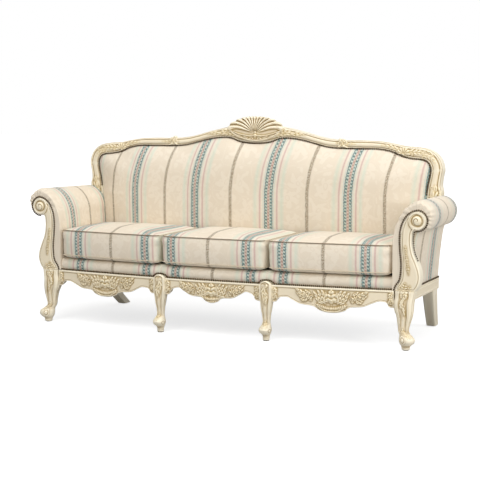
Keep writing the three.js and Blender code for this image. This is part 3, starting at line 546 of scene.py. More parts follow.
def woven_figure(tree, cloth):
    """The damask's figure: flowers with curling petals about 90 mm across, vines and small leaves."""
    drift = node(tree, "TexNoise", {"Vector": cloth, "Scale": 1 / 0.09, "Detail": 1.0}).outputs["Color"]
    turned = node(tree, "VectorMath", {0: drift, 1: (0.06, 0.06, 0.0)}, operation="MULTIPLY").outputs[0]
    bent = node(tree, "VectorMath", {0: cloth, 1: turned}, operation="ADD").outputs[0]
    spread = {"Vector": bent, "Scale": 1 / 0.12, "Randomness": 0.75}
    cells = node(tree, "TexVoronoi", spread, voronoi_dimensions="2D")
    seams = node(tree, "TexVoronoi", spread, voronoi_dimensions="2D", feature="DISTANCE_TO_EDGE").outputs[0]
    local = node(tree, "VectorMath", {0: bent, 1: cells.outputs["Position"]},
                 operation="SUBTRACT").outputs[0]
    spot = node(tree, "SeparateXYZ", {0: local}).outputs
    reach = node(tree, "VectorMath", {0: local}, operation="LENGTH").outputs["Value"]
    turn = maths(tree, "ARCTAN2", spot[1], spot[0])
    curled = maths(tree, "MULTIPLY", reach, 75.0)
    petals = maths(tree, "SINE", maths(tree, "MULTIPLY_ADD", turn, 5.0, curled))
    rim = maths(tree, "MULTIPLY_ADD", petals, 0.015, 0.036)
    petal = stops(tree, maths(tree, "MULTIPLY_ADD", maths(tree, "SUBTRACT", rim, reach), 100.0, 0.5),
                  (0.4, 0.0), (0.6, 1.0))
    ring = stops(tree, maths(tree, "MULTIPLY", reach, 20.0),
                 (0.13, 1.0), (0.17, 0.1), (0.23, 0.1), (0.27, 1.0))
    small = node(tree, "TexVoronoi", {"Vector": bent, "Scale": 1 / 0.028}, feature="SMOOTH_F1").outputs[0]
    leaflet = maths(tree, "MULTIPLY", stops(tree, small, (0.3, 1.0), (0.36, 0.0)),
                    stops(tree, seams, (0.05, 0.0), (0.08, 1.0), (0.24, 1.0), (0.3, 0.0)))
    vine = maths(tree, "MULTIPLY", stops(tree, seams, (0.02, 0.55), (0.035, 0.0)),
                 stops(tree, small, (0.3, 0.3), (0.5, 1.0)))
    flower = maths(tree, "MULTIPLY", petal, ring)
    return maths(tree, "MAXIMUM", flower, maths(tree, "MAXIMUM", leaflet, vine))


def striped_damask(colours):
    """Cotton and viscose damask, woven with warp stripes: a matt ivory ground with a figure in a smoother
    float weave, bands of coloured dashes, and one fuzzy chenille cord between the bands."""
    finish, tree, shader = new_finish("Woven striped damask", {
        "Roughness": 0.82, "Sheen Weight": 0.1, "Sheen Roughness": 0.5, "Specular IOR Level": 0.25})
    cloth = node(tree, "UVMap", uv_map="cloth").outputs[0]
    parts = node(tree, "SeparateXYZ", {0: cloth})
    shaky = maths(tree, "MULTIPLY_ADD", noise(tree, cloth, 0.03), 0.003, -0.0015)
    across = maths(tree, "ADD", parts.outputs[0], shaky)
    along = parts.outputs[1]
    # Positions are shares of the 200 mm from the middle of a band to the chenille cord
    from_band = maths(tree, "MULTIPLY", maths(tree, "PINGPONG", across, 0.2), 5.0)
    ground = maths(tree, "MULTIPLY", noise(tree, cloth, 0.2, 3.0), 0.3)
    ivory = mixed(tree, ground, tuple(colours.ivory), linear("#DFD1B8"))
    figure = woven_figure(tree, cloth)
    cloth_colour = mixed(tree, maths(tree, "MULTIPLY", figure, 0.26), ivory, linear("#F6EDDD"))

    def band(colour, strength, inner, outer, soft=1.6):
        """Lays a coloured stripe over the cloth between two distances from a band's middle, in mm."""
        nonlocal cloth_colour
        mask = stops(tree, from_band, *[(max(place / 200, 0), level) for place, level in (
            (inner - soft, 0.0), (inner + soft, 1.0), (outer - soft, 1.0), (outer + soft, 0.0))])
        amount = maths(tree, "MULTIPLY", mask, strength)
        cloth_colour = mixed(tree, amount, cloth_colour, colour)
        return mask

    # Dashes 8 mm long run along the bands, and threads 2 mm apart break every coloured stripe
    drawn = node(tree, "Mapping", {"Vector": cloth, "Scale": (1.0, 0.35, 1.0)}).outputs[0]
    threads = noise(tree, drawn, 0.0022, 1.0)
    broken = maths(tree, "MULTIPLY_ADD", threads, 0.9, 0.4, clamp=True)
    dash = maths(tree, "PINGPONG", maths(tree, "ADD", along, maths(tree, "MULTIPLY", across, 0.3)), 0.008)
    patchy = maths(tree, "MULTIPLY_ADD", noise(tree, cloth, 0.012), 2.0, -1.0)
    dashes = maths(tree, "MULTIPLY_ADD", dash, 125.0, patchy)
    teal = stops(tree, dashes, (0.4, "#3A6366"), (0.6, "#B9C9C0"))
    edge_teal = stops(tree, dashes, (0.3, "#5F9C9C"), (0.5, "#1F5058"))
    lozenges = stops(tree, dashes, (0.4, 0.25), (0.5, 1.0))
    brick = mixed(tree, lozenges, linear("#D3B3A4"), tuple(colours.brick))
    band(linear("#DDD8CC"), 0.3, 0, 56)
    band(tuple(colours.mint), maths(tree, "MULTIPLY", broken, 0.45), 60, 78, soft=7)
    band(linear("#A9C9C6"), 0.45, 25, 29)
    band(tuple(colours.rose), maths(tree, "MULTIPLY", broken, 0.8, clamp=True), 41, 48, soft=3)
    band(teal, broken, 6.5, 18)
    band(edge_teal, broken, 17.5, 22)
    band(brick, broken, 0, 5)
    fuzz = maths(tree, "MULTIPLY_ADD", noise(tree, cloth, 0.006), 2.6, -0.6, clamp=True)
    chenille = band(tuple(colours.chenille), fuzz, 192.5, 205, soft=3.5)
    tree.links.new(cloth_colour, shader.inputs["Base Color"])

    # A weave of cords coarser than the real 0.4 mm, so that it shows
    fine = ripples(tree, cloth, 0.0075, "DIAGONAL", 1.0)
    height = maths(tree, "ADD", maths(tree, "MULTIPLY", figure, 0.5), maths(tree, "MULTIPLY", fine, 0.25))
    height = maths(tree, "ADD", height, maths(tree, "MULTIPLY", threads, 0.2))
    bump(tree, shader, maths(tree, "MULTIPLY_ADD", chenille, 1.2, height), 0.3, 0.0009)
    return finish


def welt_cord(name, dark, light):
    """Bias-cut cotton welting: matt, with a twill that turns round the cord."""
    return toned(name, lambda tree, place: ripples(tree, place, 0.008, "DIAGONAL", 1.5), (0.2, dark),
                 (0.8, light), (0.4, 0.0006), {"Roughness": 0.9, "Sheen Weight": 0.2})


def jute():
    """Woven jute webbing: coarse, dry, straw brown, with threads about 6 mm apart."""
    def weave(tree, place):
        return maths(tree, "MULTIPLY", ripples(tree, place, 0.02, "X"), ripples(tree, place, 0.02, "Y"))

    return toned("Jute webbing", weave, (0.0, "#8A7148"), (0.7, "#C6AF80"), (0.6, 0.001),
                 {"Roughness": 0.95})


def black_cambric():
    """Spun black lining cloth: flat, matt and slightly hairy."""
    return toned("Black cambric", lambda tree, place: noise(tree, place, 0.003, 4.0), (0.3, "#1F1D1B"),
                 (0.7, "#35322F"), (0.3, 0.0004), {"Roughness": 0.95, "Sheen Weight": 0.15})


def antique_bronze():
    """Stamped brass nail heads, chemically browned, in patches of darker and lighter brown."""
    return toned("Browned brass", lambda tree, place: noise(tree, place, 0.006, 3.0), (0.35, "#2F2519"),
                 (0.7, "#6E5A3B"), (0.3, 0.0003), {"Metallic": 0.7, "Roughness": 0.5})


def zinc_steel():
    """Zinc-plated screws: grey, faintly blue, with a fine turned finish."""
    return toned("Zinc-plated steel", lambda tree, place: noise(tree, place, 0.002), (0.3, "#A3A5A6"),
                 (0.7, "#B9BCC0"), None, {"Metallic": 1.0, "Roughness": 0.35})


def moulded_nylon():
    """Moulded nylon glides: waxy grey, with a faint flow texture."""
    return toned("Moulded nylon", lambda tree, place: noise(tree, place, 0.002), (0.3, "#68635B"),
                 (0.7, "#77716A"), (0.1, 0.0002), {"Roughness": 0.5})


# The show wood

# Outer edge across and up, inner edge across and up. Across counts to 1 at the seat's half width, and
# from 1 to 2 over the back's spread beyond it. Up is a share of the height from rail top to shell top.
FRAME_SHARES = (
    (0, 0.936, 0, 0.826), (0.1226, 0.935, 0.0947, 0.836), (0.1894, 0.926, 0.1582, 0.86),
    (0.234, 0.915, 0.2173, 0.862), (0.2941, 0.9, 0.2941, 0.851), (0.3677, 0.877, 0.3732, 0.829),
    (0.4412, 0.86, 0.4523, 0.809), (0.5314, 0.852, 0.5314, 0.803), (0.6551, 0.851, 0.6551, 0.802),
    (0.7576, 0.846, 0.752, 0.801), (0.8356, 0.832, 0.8245, 0.787), (0.9036, 0.818, 0.8868, 0.759),
    (0.9715, 0.813, 0.9437, 0.745), (1.2971, 0.8, 0.9949, 0.74), (1.6876, 0.768, 1.2678, 0.726),
    (1.9219, 0.72, 1.4143, 0.694), (1.9902, 0.675, 1.4338, 0.669), (1.9317, 0.63, 1.3947, 0.63),
    (1.8926, 0.58, 1.3069, 0.58), (1.9512, 0.535, 1.2581, 0.535), (1.9024, 0.471, 1.2288, 0.471),
    (1.7071, 0.29, 1.18, 0.29), (1.5802, 0.09, 1.1311, 0.09), (1.546, 0, 1.1116, 0),
    (1.546, -0.0688, 1.1116, -0.0688),
)
CREST_END_ROW = 16
ARM_ROW = 19
LAST_ROW = len(FRAME_SHARES) - 1


def frame_edge(column):
    right = np.array([(min(row[column], 1) * SEAT_HALF + max(row[column] - 1, 0) * BACK_SPREAD,
                       RAIL_TOP + row[column + 1] * (SHELL_TOP - RAIL_TOP)) for row in FRAME_SHARES])
    left = right[:0:-1] * (-1, 1)
    return np.vstack([left, right])


OUTER_EDGE = frame_edge(0)
INNER_EDGE = frame_edge(2)


def outer_edge(rows):
    return spline(OUTER_EDGE, np.asarray(rows) + LAST_ROW)


def inner_edge(rows):
    return spline(INNER_EDGE, np.asarray(rows) + LAST_ROW)


def on_frame(row, share):
    """A point on the back frame's face in millimetres, by row and share from inner to outer edge."""
    inner, outer = inner_edge([row])[0], outer_edge([row])[0]
    return (inner + (outer - inner) * share) / MM


# Across from the inner edge to the outer edge, and height over the frame's face in millimetres
CREST_SECTION = (
    (0, -1.5), (0.03, 0.8), (0.07, 1.7), (0.11, 0.9), (0.14, -0.3), (0.18, 0.3), (0.24, 2.4),
    (0.34, 3.9), (0.46, 4.4), (0.58, 3.8), (0.68, 2.0), (0.73, 0.1), (0.77, -0.3), (0.82, 1.8),
    (0.88, 2.5), (0.93, 1.6), (0.965, -0.8), (1, -5),
)


def crest_carving(relief):
    """Leaf sprays beside the shell, ribbon ties, shoulder shells and corner leaves, on both halves."""
    at = on_frame
    relief.leaf([at(1.6, 0.62), at(2.3, 0.7), at(3.0, 0.62)], 20, 6.5, 3)
    relief.leaf([at(2.3, 0.42), at(3.0, 0.48), at(3.9, 0.46)], 20, 6.5, 3)
    relief.leaf([at(1.3, 0.36), at(2.0, 0.3), at(2.7, 0.24)], 18, 6.5, 3)
    relief.scroll(at(1.7, 0.74), 8, 0.5, -7, 4, 7)
    relief.flower(at(2.05, 0.5), 9, 7.5, 5)
    relief.leaf([at(3.3, 0.7), at(3.8, 0.68), at(4.3, 0.6)], 13, 6, 3)
    relief.rib([at(6.75, 0.0), at(6.95, 0.5), at(7.2, 1.0)], 13, 6.5, (1, 0.75, 0.75, 1))
    relief.rib([at(7.25, 0.0), at(7.0, 0.5), at(6.8, 1.0)], 13, 6.5, (1, 0.75, 0.75, 1))
    relief.leaf([at(6.9, 0.5), at(6.55, 0.55)], 20, 5, 3)
    relief.leaf([at(7.1, 0.5), at(7.5, 0.52), at(7.7, 0.5)], 18, 5, 3)
    relief.flower(at(7.0, 0.5), 8, 8, 5)
    relief.leaf([at(10.5, 0.45), at(9.9, 0.5), at(9.0, 0.5)], 24, 5.5)
    relief.leaf([at(11.4, 0.5), at(12.2, 0.55), at(13.0, 0.62)], 32, 5.5)
    relief.fan(at(11.0, 0.2), 36, 8.5, 7, -0.25, pi + 0.25)
    relief.scroll(at(11.75, 0.3), 10, 2.6, -7, 5, 7)
    relief.scroll(at(10.45, 0.3), 10, 0.4, 7, 5, 7)
    relief.bead(at(11.0, 0.16), 6, 9)
    relief.leaf([at(12.2, 0.75), at(13.2, 0.8), at(14.0, 0.72)], 16, 5)
    relief.leaf([at(12.9, 0.4), at(13.9, 0.45), at(14.9, 0.5)], 26, 5)
    relief.scroll(at(13.0, 0.22), 9, 0, -7, 4.5, 6)


def post_carving(relief):
    """An acanthus leaf that climbs each stile from the arm."""
    at = on_frame
    relief.leaf([at(20.4, 0.5), at(19.6, 0.5), at(18.7, 0.6), at(17.7, 0.45)], 38, 6)
    relief.leaf([at(19.8, 0.8), at(19.0, 0.95), at(18.3, 0.8)], 18, 5.5)
    relief.scroll(at(18.4, 0.3), 9, 1, 7, 4.5, 6)
    relief.scroll(at(19.5, 0.25), 8, 4, -7, 4.5, 6)


def frame_piece(name, start, stop, carving):
    """A length of the back frame between two rows: a moulded, carved front on a plain board."""
    spacing = 1.7 * MM
    count = int(even_rows(outer_edge, start, stop, 2)[1] / spacing)
    rows = even_rows(outer_edge, start, stop, count + 1)[0]
    sides = (34, 5, 6, 5)

    def place(u, v):
        row = np.interp(u, np.linspace(0, 1, count + 1), rows)
        side, across, back, share = around(v, sides)
        inner, outer = inner_edge(row), outer_edge(row)
        flat = inner + (outer - inner) * across[:, None]
        relief = Relief(np.abs(flat[:, 0]) / MM, flat[:, 1] / MM)
        carving(relief)
        section = profile(CREST_SECTION, across)
        fade = ease(np.minimum(across, 1 - across) / 0.05)
        carved = relief.height * fade
        proud = np.where(side == 0, np.maximum(section, carved + 0.25 * section * ease(fade * 4)), 0)
        proud = np.where((side == 0) & (fade < 1e-9), section, proud)
        edge = profile(CREST_SECTION, np.where(across > 0.5, 1.0, 0.0))
        front = BACK_FRONT - np.where(side == 0, proud, edge) * MM
        y = front + back * (BACK_FACE - front)
        bulge = np.where((side == 1) | (side == 3), np.sin(pi * share) * 1.2 * MM, 0)
        way = (outer - inner) / np.linalg.norm(outer - inner, axis=1, keepdims=True)
        flat = flat + way * (bulge * np.where(side == 3, -1, 1))[:, None]
        line = np.where(side == 0, peak(across, 0.975, 0.035)
                        + 0.9 * peak(across, 0.74, 0.035)
                        + 0.8 * peak(across, 0.135, 0.03), 0)
        line = line * (1 - np.clip(relief.height / 2, 0, 1)) + relief.contour() * (side == 0)
        points = np.stack([flat[:, 0], y, flat[:, 1]], 1)
        return points, {"gilt": relief.gilt * ease(relief.height / 2), "line": line}

    piece = sheet(name, count, sum(sides), place)
    return mark_hollows(piece)


def inside(points, outline):
    """Which points fall within a closed outline."""
    x, y = points.T
    odd = np.zeros(len(points), bool)
    for (x0, y0), (x1, y1) in zip(outline, np.roll(outline, -1, axis=0)):
        if y0 != y1:
            odd ^= ((y0 > y) != (y1 > y)) & (x < (x1 - x0) * (y - y0) / (y1 - y0) + x0)
    return odd


def nearest(points, outline):
    """The nearest place on a closed outline to each point, and the distance to it."""
    best = np.full(len(points), 1e9)
    place = points.copy()
    for start, stop in zip(outline, np.roll(outline, -1, axis=0)):
        way = stop - start
        step = np.clip((points - start) @ way / max(way @ way, 1e-9), 0, 1)
        spot = start + step[:, None] * way
        gap = ((points - spot) ** 2).sum(1)
        nearer = gap < best
        best[nearer] = gap[nearer]
        place[nearer] = spot[nearer]
    return place, np.sqrt(best)


def carved_board(name, outline, field, front, back, spacing=1.4):
    """A board sawn to an outline in the X-Z plane, in millimetres, with a carved front. field takes
    points and their distance from the edge, and returns heights in millimetres and finish values."""
    low, high = outline.min(0) - spacing, outline.max(0) + spacing
    steps = ((high - low) / spacing).astype(int) + 1
    data = new_grid(name, *steps)
    kept = inside(low + (read_points(data)[:, :2] + 0.5) * (high - low), outline)
    with editing(data) as mesh:
        mesh.verts.ensure_lookup_table()
        bmesh.ops.delete(mesh, geom=[mesh.verts[k] for k in np.flatnonzero(~kept)], context="VERTS")
        stray = [vert for vert in mesh.verts if not vert.link_faces]
        bmesh.ops.delete(mesh, geom=stray, context="VERTS")
        rim = np.array([vert.is_boundary for vert in mesh.verts])
    flat = low + (read_points(data)[:, :2] + 0.5) * (high - low)
    flat[rim] = nearest(flat[rim], outline)[0]
    gap = nearest(flat, outline)[1]
    height, values = field(flat, gap)
    write_points(data, np.stack([flat[:, 0] * MM, front - height * MM, flat[:, 1] * MM], 1))
    for key, value in values.items():
        set_values(data, key, value)
    return mark_hollows(backed(new_piece(name, data), back))


# Half of the crest shell's outline from the top down: across as a share of half the width, and up
SHELL_SHARES = ((0, 1), (0.33, 0.98), (0.62, 0.89), (0.85, 0.74), (1, 0.58), (0.95, 0.46), (0.82, 0.31),
                (0.63, 0.18), (0.36, 0.06), (0, 0))


def crest_shell():
    """The shell: ribs that sweep outwards to a scalloped rim, over a root boss and a beaded lip."""
    half = SHELL_HIGH.x / MM
    top, bottom = SHELL_TOP / MM, SHELL_LOW.z / MM
    ring = [(across * half, bottom + up * (top - bottom)) for across, up in SHELL_SHARES]
    ring += [(-x, z) for x, z in ring[-2:0:-1]]
    closed = np.array(ring[-2:] + ring + ring[:2], float)
    outline = spline(closed, np.linspace(2, len(ring) + 2, 700)[:-1])
    root = np.array([0.0, bottom + 0.38 * (top - bottom)])
    ribs = 13
    fan_start, fan_turn = 0.04, pi + 0.08
    spoke = outline - root
    angle = np.arctan2(spoke[:, 1], spoke[:, 0])
    spread = (angle + fan_start) / fan_turn
    fanned = (spread > 0) & (spread < 1)
    scallop = np.abs(np.sin(pi * ribs * spread)) ** 0.7
    share = np.where(fanned, 0.94 + 0.06 * scallop, 0.985)
    rim = root + spoke * share[:, None]
    order = np.argsort(angle)

    def field(points, gap):
        from_root = points - root
        reach = np.hypot(*from_root.T)
        turn = np.arctan2(from_root[:, 1], from_root[:, 0])
        turn = np.where(turn < -pi / 2, turn + 2 * pi, turn)
        limit = np.interp(np.arctan2(from_root[:, 1], from_root[:, 0]), angle[order],
                          np.hypot(*spoke.T)[order])
        out = np.clip(reach / limit, 0, 1.1)
        sweep = -0.2 * np.cos(turn) * np.sin(pi * np.clip(out, 0, 1))
        part = (turn + sweep + fan_start) / fan_turn
        wave = np.abs(np.sin(pi * ribs * part))
        ridge = wave ** 0.75
        in_fan = ease(part / 0.02) * ease((1 - part) / 0.02)
        dome = 6 + 10 * np.sin(pi * np.clip(out, 0, 1) ** 0.8) ** 0.9
        curl = 5 * ease((out - 0.75) / 0.15)
        height = dome + (11 * ridge * ease(out / 0.25) - 5) * in_fan + curl * ridge * in_fan
        lip = 8 + 5 * peak(gap, 6, 3.5) - 2 * peak(gap, 12, 2)
        height = in_fan * height + (1 - in_fan) * lip
        relief = Relief(np.abs(points[:, 0]), points[:, 1])
        level = root[1]
        relief.rib([(0, level - 17), (0.3 * half, level - 18), (0.6 * half, level - 8),
                    (0.88 * half, level + 8)], 8, 16, (1, 1, 0.9, 0.6), gilt=0.2)
        relief.leaf([(6, level - 26), (0.3 * half, level - 29), (0.55 * half, level - 22),
                     (0.86 * half, level - 4)], 17, 15)
        for k in range(6):
            across = 0.09 + 0.1 * k
            relief.bead((across * half, bottom + 15 + 30 * across ** 2.4), 4.2, 15.5)
        relief.bead((0, level - 1), 8, 15)
        relief.leaf([(0, level - 8), (0, level - 20), (0, level - 34)], 18, 17, 2)
        carved = relief.height > height
        height = np.maximum(height, relief.height)
        height = height * (0.25 + 0.75 * ease(gap / 4) ** 0.6)
        # Painted shade: a broad umber gradient down the flanks of every rib into the valleys, and glaze in
        # the lip's groove
        groove = 0.5 * (1 - wave) ** 1.1 * ease((out - 0.25) / 0.3) * in_fan
        groove = np.maximum(groove, 0.7 * peak(gap, 12, 2) * (1 - in_fan))
        return height, {"gilt": np.where(carved, 0.8, 0.1 + 0.3 * (out > 0.86)),
                        "line": groove * ~carved}

    return carved_board("carved_crest_shell", rim, field, FRAME_FACE + 2 * MM, FRAME_FACE + 6 * MM,
                        spacing=1.2)


def ribbon_tie():
    """A ribbon crossed over the crest rail, with a flower on the knot and tips that stand up."""
    centre = on_frame(7.0, 0.62)
    turn = np.linspace(0, 2 * pi, 120, endpoint=False)
    reach = 17 + 10 * np.abs(np.cos(2 * turn - 0.9)) ** 0.7 * (1 - 0.25 * (np.sin(turn) < -0.2))
    outline = centre + np.stack([np.cos(turn), np.sin(turn)], 1) * reach[:, None]

    def field(points, gap):
        local = points - centre
        relief = Relief(local[:, 0], local[:, 1])
        for lean in (1, -1):
            relief.rib([(-13 * lean, -21), (-4 * lean, -6), (5 * lean, 7), (15 * lean, 24)], 13, 8.5,
                       (1, 0.8, 0.8, 1))
            relief.leaf([(3 * lean, 0), (14 * lean, 3), (26 * lean, 2)], 17, 8, 3)
            relief.rib([(-8 * lean, 16), (0, 5), (9 * lean, -12)], 4, 9.5, (0.6, 1, 1, 0.6))
        relief.flower((0, 1), 9, 11, 5)
        height = np.maximum(4, relief.height) * (0.3 + 0.7 * ease(gap / 3))
        return height, {"gilt": relief.gilt * ease(relief.height / 4), "line": relief.contour(4.6)}

    return carved_board("crest_ribbon_right", outline, field, BACK_FRONT - 1 * MM, BACK_FRONT + 6 * MM,
                        spacing=1.1)


# Across as a share of the arm's width from the inside arm, and up from the rail top to the arm top
FACING_INNER = ((0.078, 0), (0.115, 0.048), (0.21, 0.115), (0.245, 0.204), (0.25, 0.312), (0.22, 0.444),
                (0.205, 0.576), (0.228, 0.685), (0.29, 0.77), (0.385, 0.832), (0.497, 0.868))
FACING_OUTER = ((0.53, 0.685), (0.486, 0.648), (0.468, 0.582), (0.476, 0.5), (0.518, 0.413),
                (0.605, 0.318), (0.68, 0.221), (0.695, 0.132), (0.65, 0.058), (0.565, 0))
VOLUTE = (0.613, 0.781)
VOLUTE_RADIUS = 43
FACING_FRONT = FACING_HIGH.y - 60 * MM


def arm_point(across, up):
    """A point beside the arm, in millimetres."""
    return np.array([(SEAT_HALF + across * ARM_WIDTH) / MM, (RAIL_TOP + up * (ARM_TOP - RAIL_TOP)) / MM])


def facing_edges():
    """The facing's inner edge with its turn round the volute, and its outer edge, upwards."""
    centre = arm_point(*VOLUTE)
    turn = 0.52 * pi - 1.06 * pi * np.linspace(0, 1, 24)
    wrap = centre + VOLUTE_RADIUS * np.stack([np.cos(turn), np.sin(turn)], 1)
    inner = smooth_path([arm_point(*pair) for pair in FACING_INNER] + list(wrap[1:]), 8)
    outer = smooth_path([arm_point(*pair) for pair in FACING_OUTER[::-1]], 10)
    return inner, outer


def arm_facing():
    """The arm facing: an S-curved upright with moulded borders that wind into the scroll."""
    inner, outer = facing_edges()
    outline = np.vstack([inner, outer[::-1]])
    centre = arm_point(*VOLUTE)

    def field(points, gap):
        from_eye = points - centre
        reach = np.hypot(*from_eye.T)
        turn = np.arctan2(from_eye[:, 1], from_eye[:, 0])
        height = 5.5 * ease(gap / 15) + 2.4 * peak(gap, 4.2, 2.2)
        height -= 1.6 * peak(gap, 8.6, 1.7)
        height -= 4 * (1 - ease(gap / 2.2))
        relief = Relief(*points.T)
        # The throat's border runs on round the eye and winds in
        coil = 0.62 * pi + np.linspace(0, 1, 40) * 1.75 * pi
        wind = VOLUTE_RADIUS - 20.5 * np.linspace(0, 1, 40)
        spiral = centre + np.stack([np.cos(-coil), np.sin(-coil)], 1) * wind[:, None]
        relief.rib(spiral, 6.5, 9.5, (1, 1, 1, 0.8), gilt=0.2)
        relief.rib(centre + (spiral - centre) * 0.84, 3.5, 8, (1, 1, 1, 0.8), gilt=0.5)
        coils = Relief(*points.T)
        coils.rib(centre + (spiral - centre) * 0.92, 4, 1)
        coils.rib(centre + (spiral - centre) * 0.75, 3, 1)
        middle = [arm_point(across, up) for across, up in (
            (0.36, 0.04), (0.4, 0.12), (0.415, 0.2), (0.385, 0.3), (0.345, 0.4), (0.32, 0.52))]
        for k, (a, b) in enumerate(zip(middle[2:-1], middle[3:])):
            relief.leaf([a + (b - a) * share for share in (0.9, 0.45, 0.05)], 22 - 2 * k, 9, 3)
        bell = spline(middle, np.linspace(1.9, 4.6, 8))
        for k, spot in enumerate(bell):
            relief.leaf([spot + (0, 10), spot, spot - (0, 9)], 13 + 4 * np.sin(k * 0.45), 9.2, 2)
            relief.bead(spot + (0, 7), 3.2, 10.5)
        foot = arm_point(0.31, 0.0)
        relief.leaf([foot + (-2, -2), foot + (2, 22), foot + (8, 44)], 40, 9.5)
        relief.leaf([foot + (-18, -2), foot + (-16, 14), foot + (-8, 28)], 18, 9, 3)
        relief.leaf([foot + (22, -2), foot + (26, 16), foot + (28, 34)], 20, 9, 3)
        wound = np.zeros_like(reach)
        for lap in (1, 2):
            share = (2 * lap * pi - turn - 0.62 * pi) / (1.75 * pi)
            groove = np.exp(-((reach - VOLUTE_RADIUS + 20.5 * share) / 1.7) ** 2) * (share > 0.98)
            wound = np.maximum(wound, groove)
        boss = 17 * np.sqrt(np.clip(1 - (reach / 25) ** 2.6, 0, 1)) * (1 - 0.3 * wound)
        in_drum = ease((VOLUTE_RADIUS - 0.5 - reach) / 3)
        cup = 3.5 + 4.5 * ease((reach - 22) / 16)
        height = height * (1 - in_drum) + (cup + 0.35 * height) * in_drum
        height = np.maximum(np.maximum(height, relief.height), boss)
        gilt = np.maximum(relief.gilt * ease(relief.height / 4), 0.5 * (reach < 26))
        line = 0.9 * peak(gap, 8.8, 1.8) * (1 - in_drum)
        line = np.maximum(line * (1 - np.clip(relief.height / 3, 0, 1)), coils.height * 0.8)
        line = np.maximum(line, np.maximum(0.7 * peak(reach, 26.5, 1.6), 0.7 * wound))
        return height, {"gilt": gilt, "line": np.maximum(line, relief.contour(7) * (reach > 46))}

    front = FACING_FRONT + 8 * MM
    return carved_board("carved_arm_facing_right", outline, field, front, FACING_HIGH.y - 0.5 * MM, 1.3)


# Height as a share of the leg; centre outwards and backwards, half width and half depth as shares of
# the leg's width; how far the section turns to the toe; squareness
CORNER_LEG = (
    (0.015, 0, 0, 0.2, 0.2, 1, 2), (0.07, 0, 0, 0.23, 0.23, 1, 2), (0.11, 0.03, -0.03, 0.345, 0.31, 1, 2.1),
    (0.16, 0.05, -0.05, 0.415, 0.35, 1, 2.3), (0.215, 0.03, -0.03, 0.405, 0.335, 1, 2.3),
    (0.26, -0.05, 0.05, 0.31, 0.275, 1, 2.2), (0.325, -0.16, 0.16, 0.255, 0.235, 0, 2.4),
    (0.445, -0.15, 0.18, 0.315, 0.25, 0, 2.6), (0.57, -0.13, 0.205, 0.395, 0.285, 0, 3),
    (0.675, -0.165, 0.235, 0.46, 0.315, 0, 4), (0.8, -0.18, 0.27, 0.475, 0.335, 0, 5),
    (0.9, -0.14, 0.32, 0.473, 0.34, 0, 6), (1, -0.13, 0.337, 0.5, 0.326, 0, 8),
)
MIDDLE_LEG = (
    (0.015, 0, 0, 0.26, 0.26, 1, 2), (0.09, 0, 0, 0.3, 0.3, 1, 2), (0.14, 0, -0.12, 0.41, 0.52, 1, 2.1),
    (0.195, 0, -0.18, 0.465, 0.61, 1, 2.2), (0.245, 0, -0.1, 0.41, 0.5, 1, 2.2),
    (0.305, 0, 0.05, 0.31, 0.3, 1, 2.3), (0.42, 0, 0.06, 0.345, 0.31, 1, 2.6),
    (0.525, 0, 0.05, 0.42, 0.38, 1, 3), (0.66, 0, 0.1, 0.48, 0.45, 1, 4),
    (0.7526, 0, 0.1434, 0.5, 0.4754, 1, 8), (0.94, 0, 0.1434, 0.5, 0.4754, 1, 8),
)


def leg(name, table, centre, size, top, toe, carving, steps=(190, 110)):
    """A carved leg lofted through rounded squares. The carving counts millimetres round from the line
    down the leg's front, and millimetres up from the floor."""
    table = np.array(table, float)
    stations = np.linspace(0, len(table) - 1, 1500)
    heights = spline(table, stations, even=True)[:, 0]
    order = np.maximum.accumulate(heights)
    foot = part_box("front_corner_glide_right")[1].z + 0.3 * MM

    def place(u, v):
        low = foot / top
        rise = low + (table[-1, 0] - low) * u
        station = np.interp(rise, order + 1e-9 * np.arange(len(order)), stations)
        row = spline(table, station, even=True)
        angle = 2 * pi * v
        turned = angle - toe * np.clip(row[:, 5], 0, 1)
        across = np.abs(np.cos(turned)) / (row[:, 3] * size)
        along = np.abs(np.sin(turned)) / (row[:, 4] * size)
        power = np.clip(row[:, 6], 2, 8)
        radius = (across ** power + along ** power) ** (-1 / power)
        front = -pi / 2 if abs(toe) < 0.1 else -pi / 2 + (toe + pi / 2) * np.clip(row[:, 5], 0, 1)
        off = (angle - front + pi) % (2 * pi) - pi
        relief = Relief(off * size * 0.43 / MM, rise * top / MM)
        flat, line = carving(relief, off, rise * top / MM)
        radius = radius + (relief.height + flat) * MM
        x = centre[0] + row[:, 1] * size + radius * np.cos(angle)
        y = centre[1] + row[:, 2] * size + radius * np.sin(angle)
        points = np.stack([x, y, rise * top], 1)
        return points, {"gilt": relief.gilt * ease(relief.height / 1.5), "line": line}

    piece = sheet(name, steps[0], steps[1], place)
    return mark_hollows(piece)


def shin_flutes(off, height, low, high):
    """Long shallow channels down the front of the shin."""
    span = ease((height - low) / 25) * ease((high - height) / 30)
    return -1.5 * span * np.abs(np.sin(off * 3.4)) ** 2 * (np.abs(off) < 1.4)


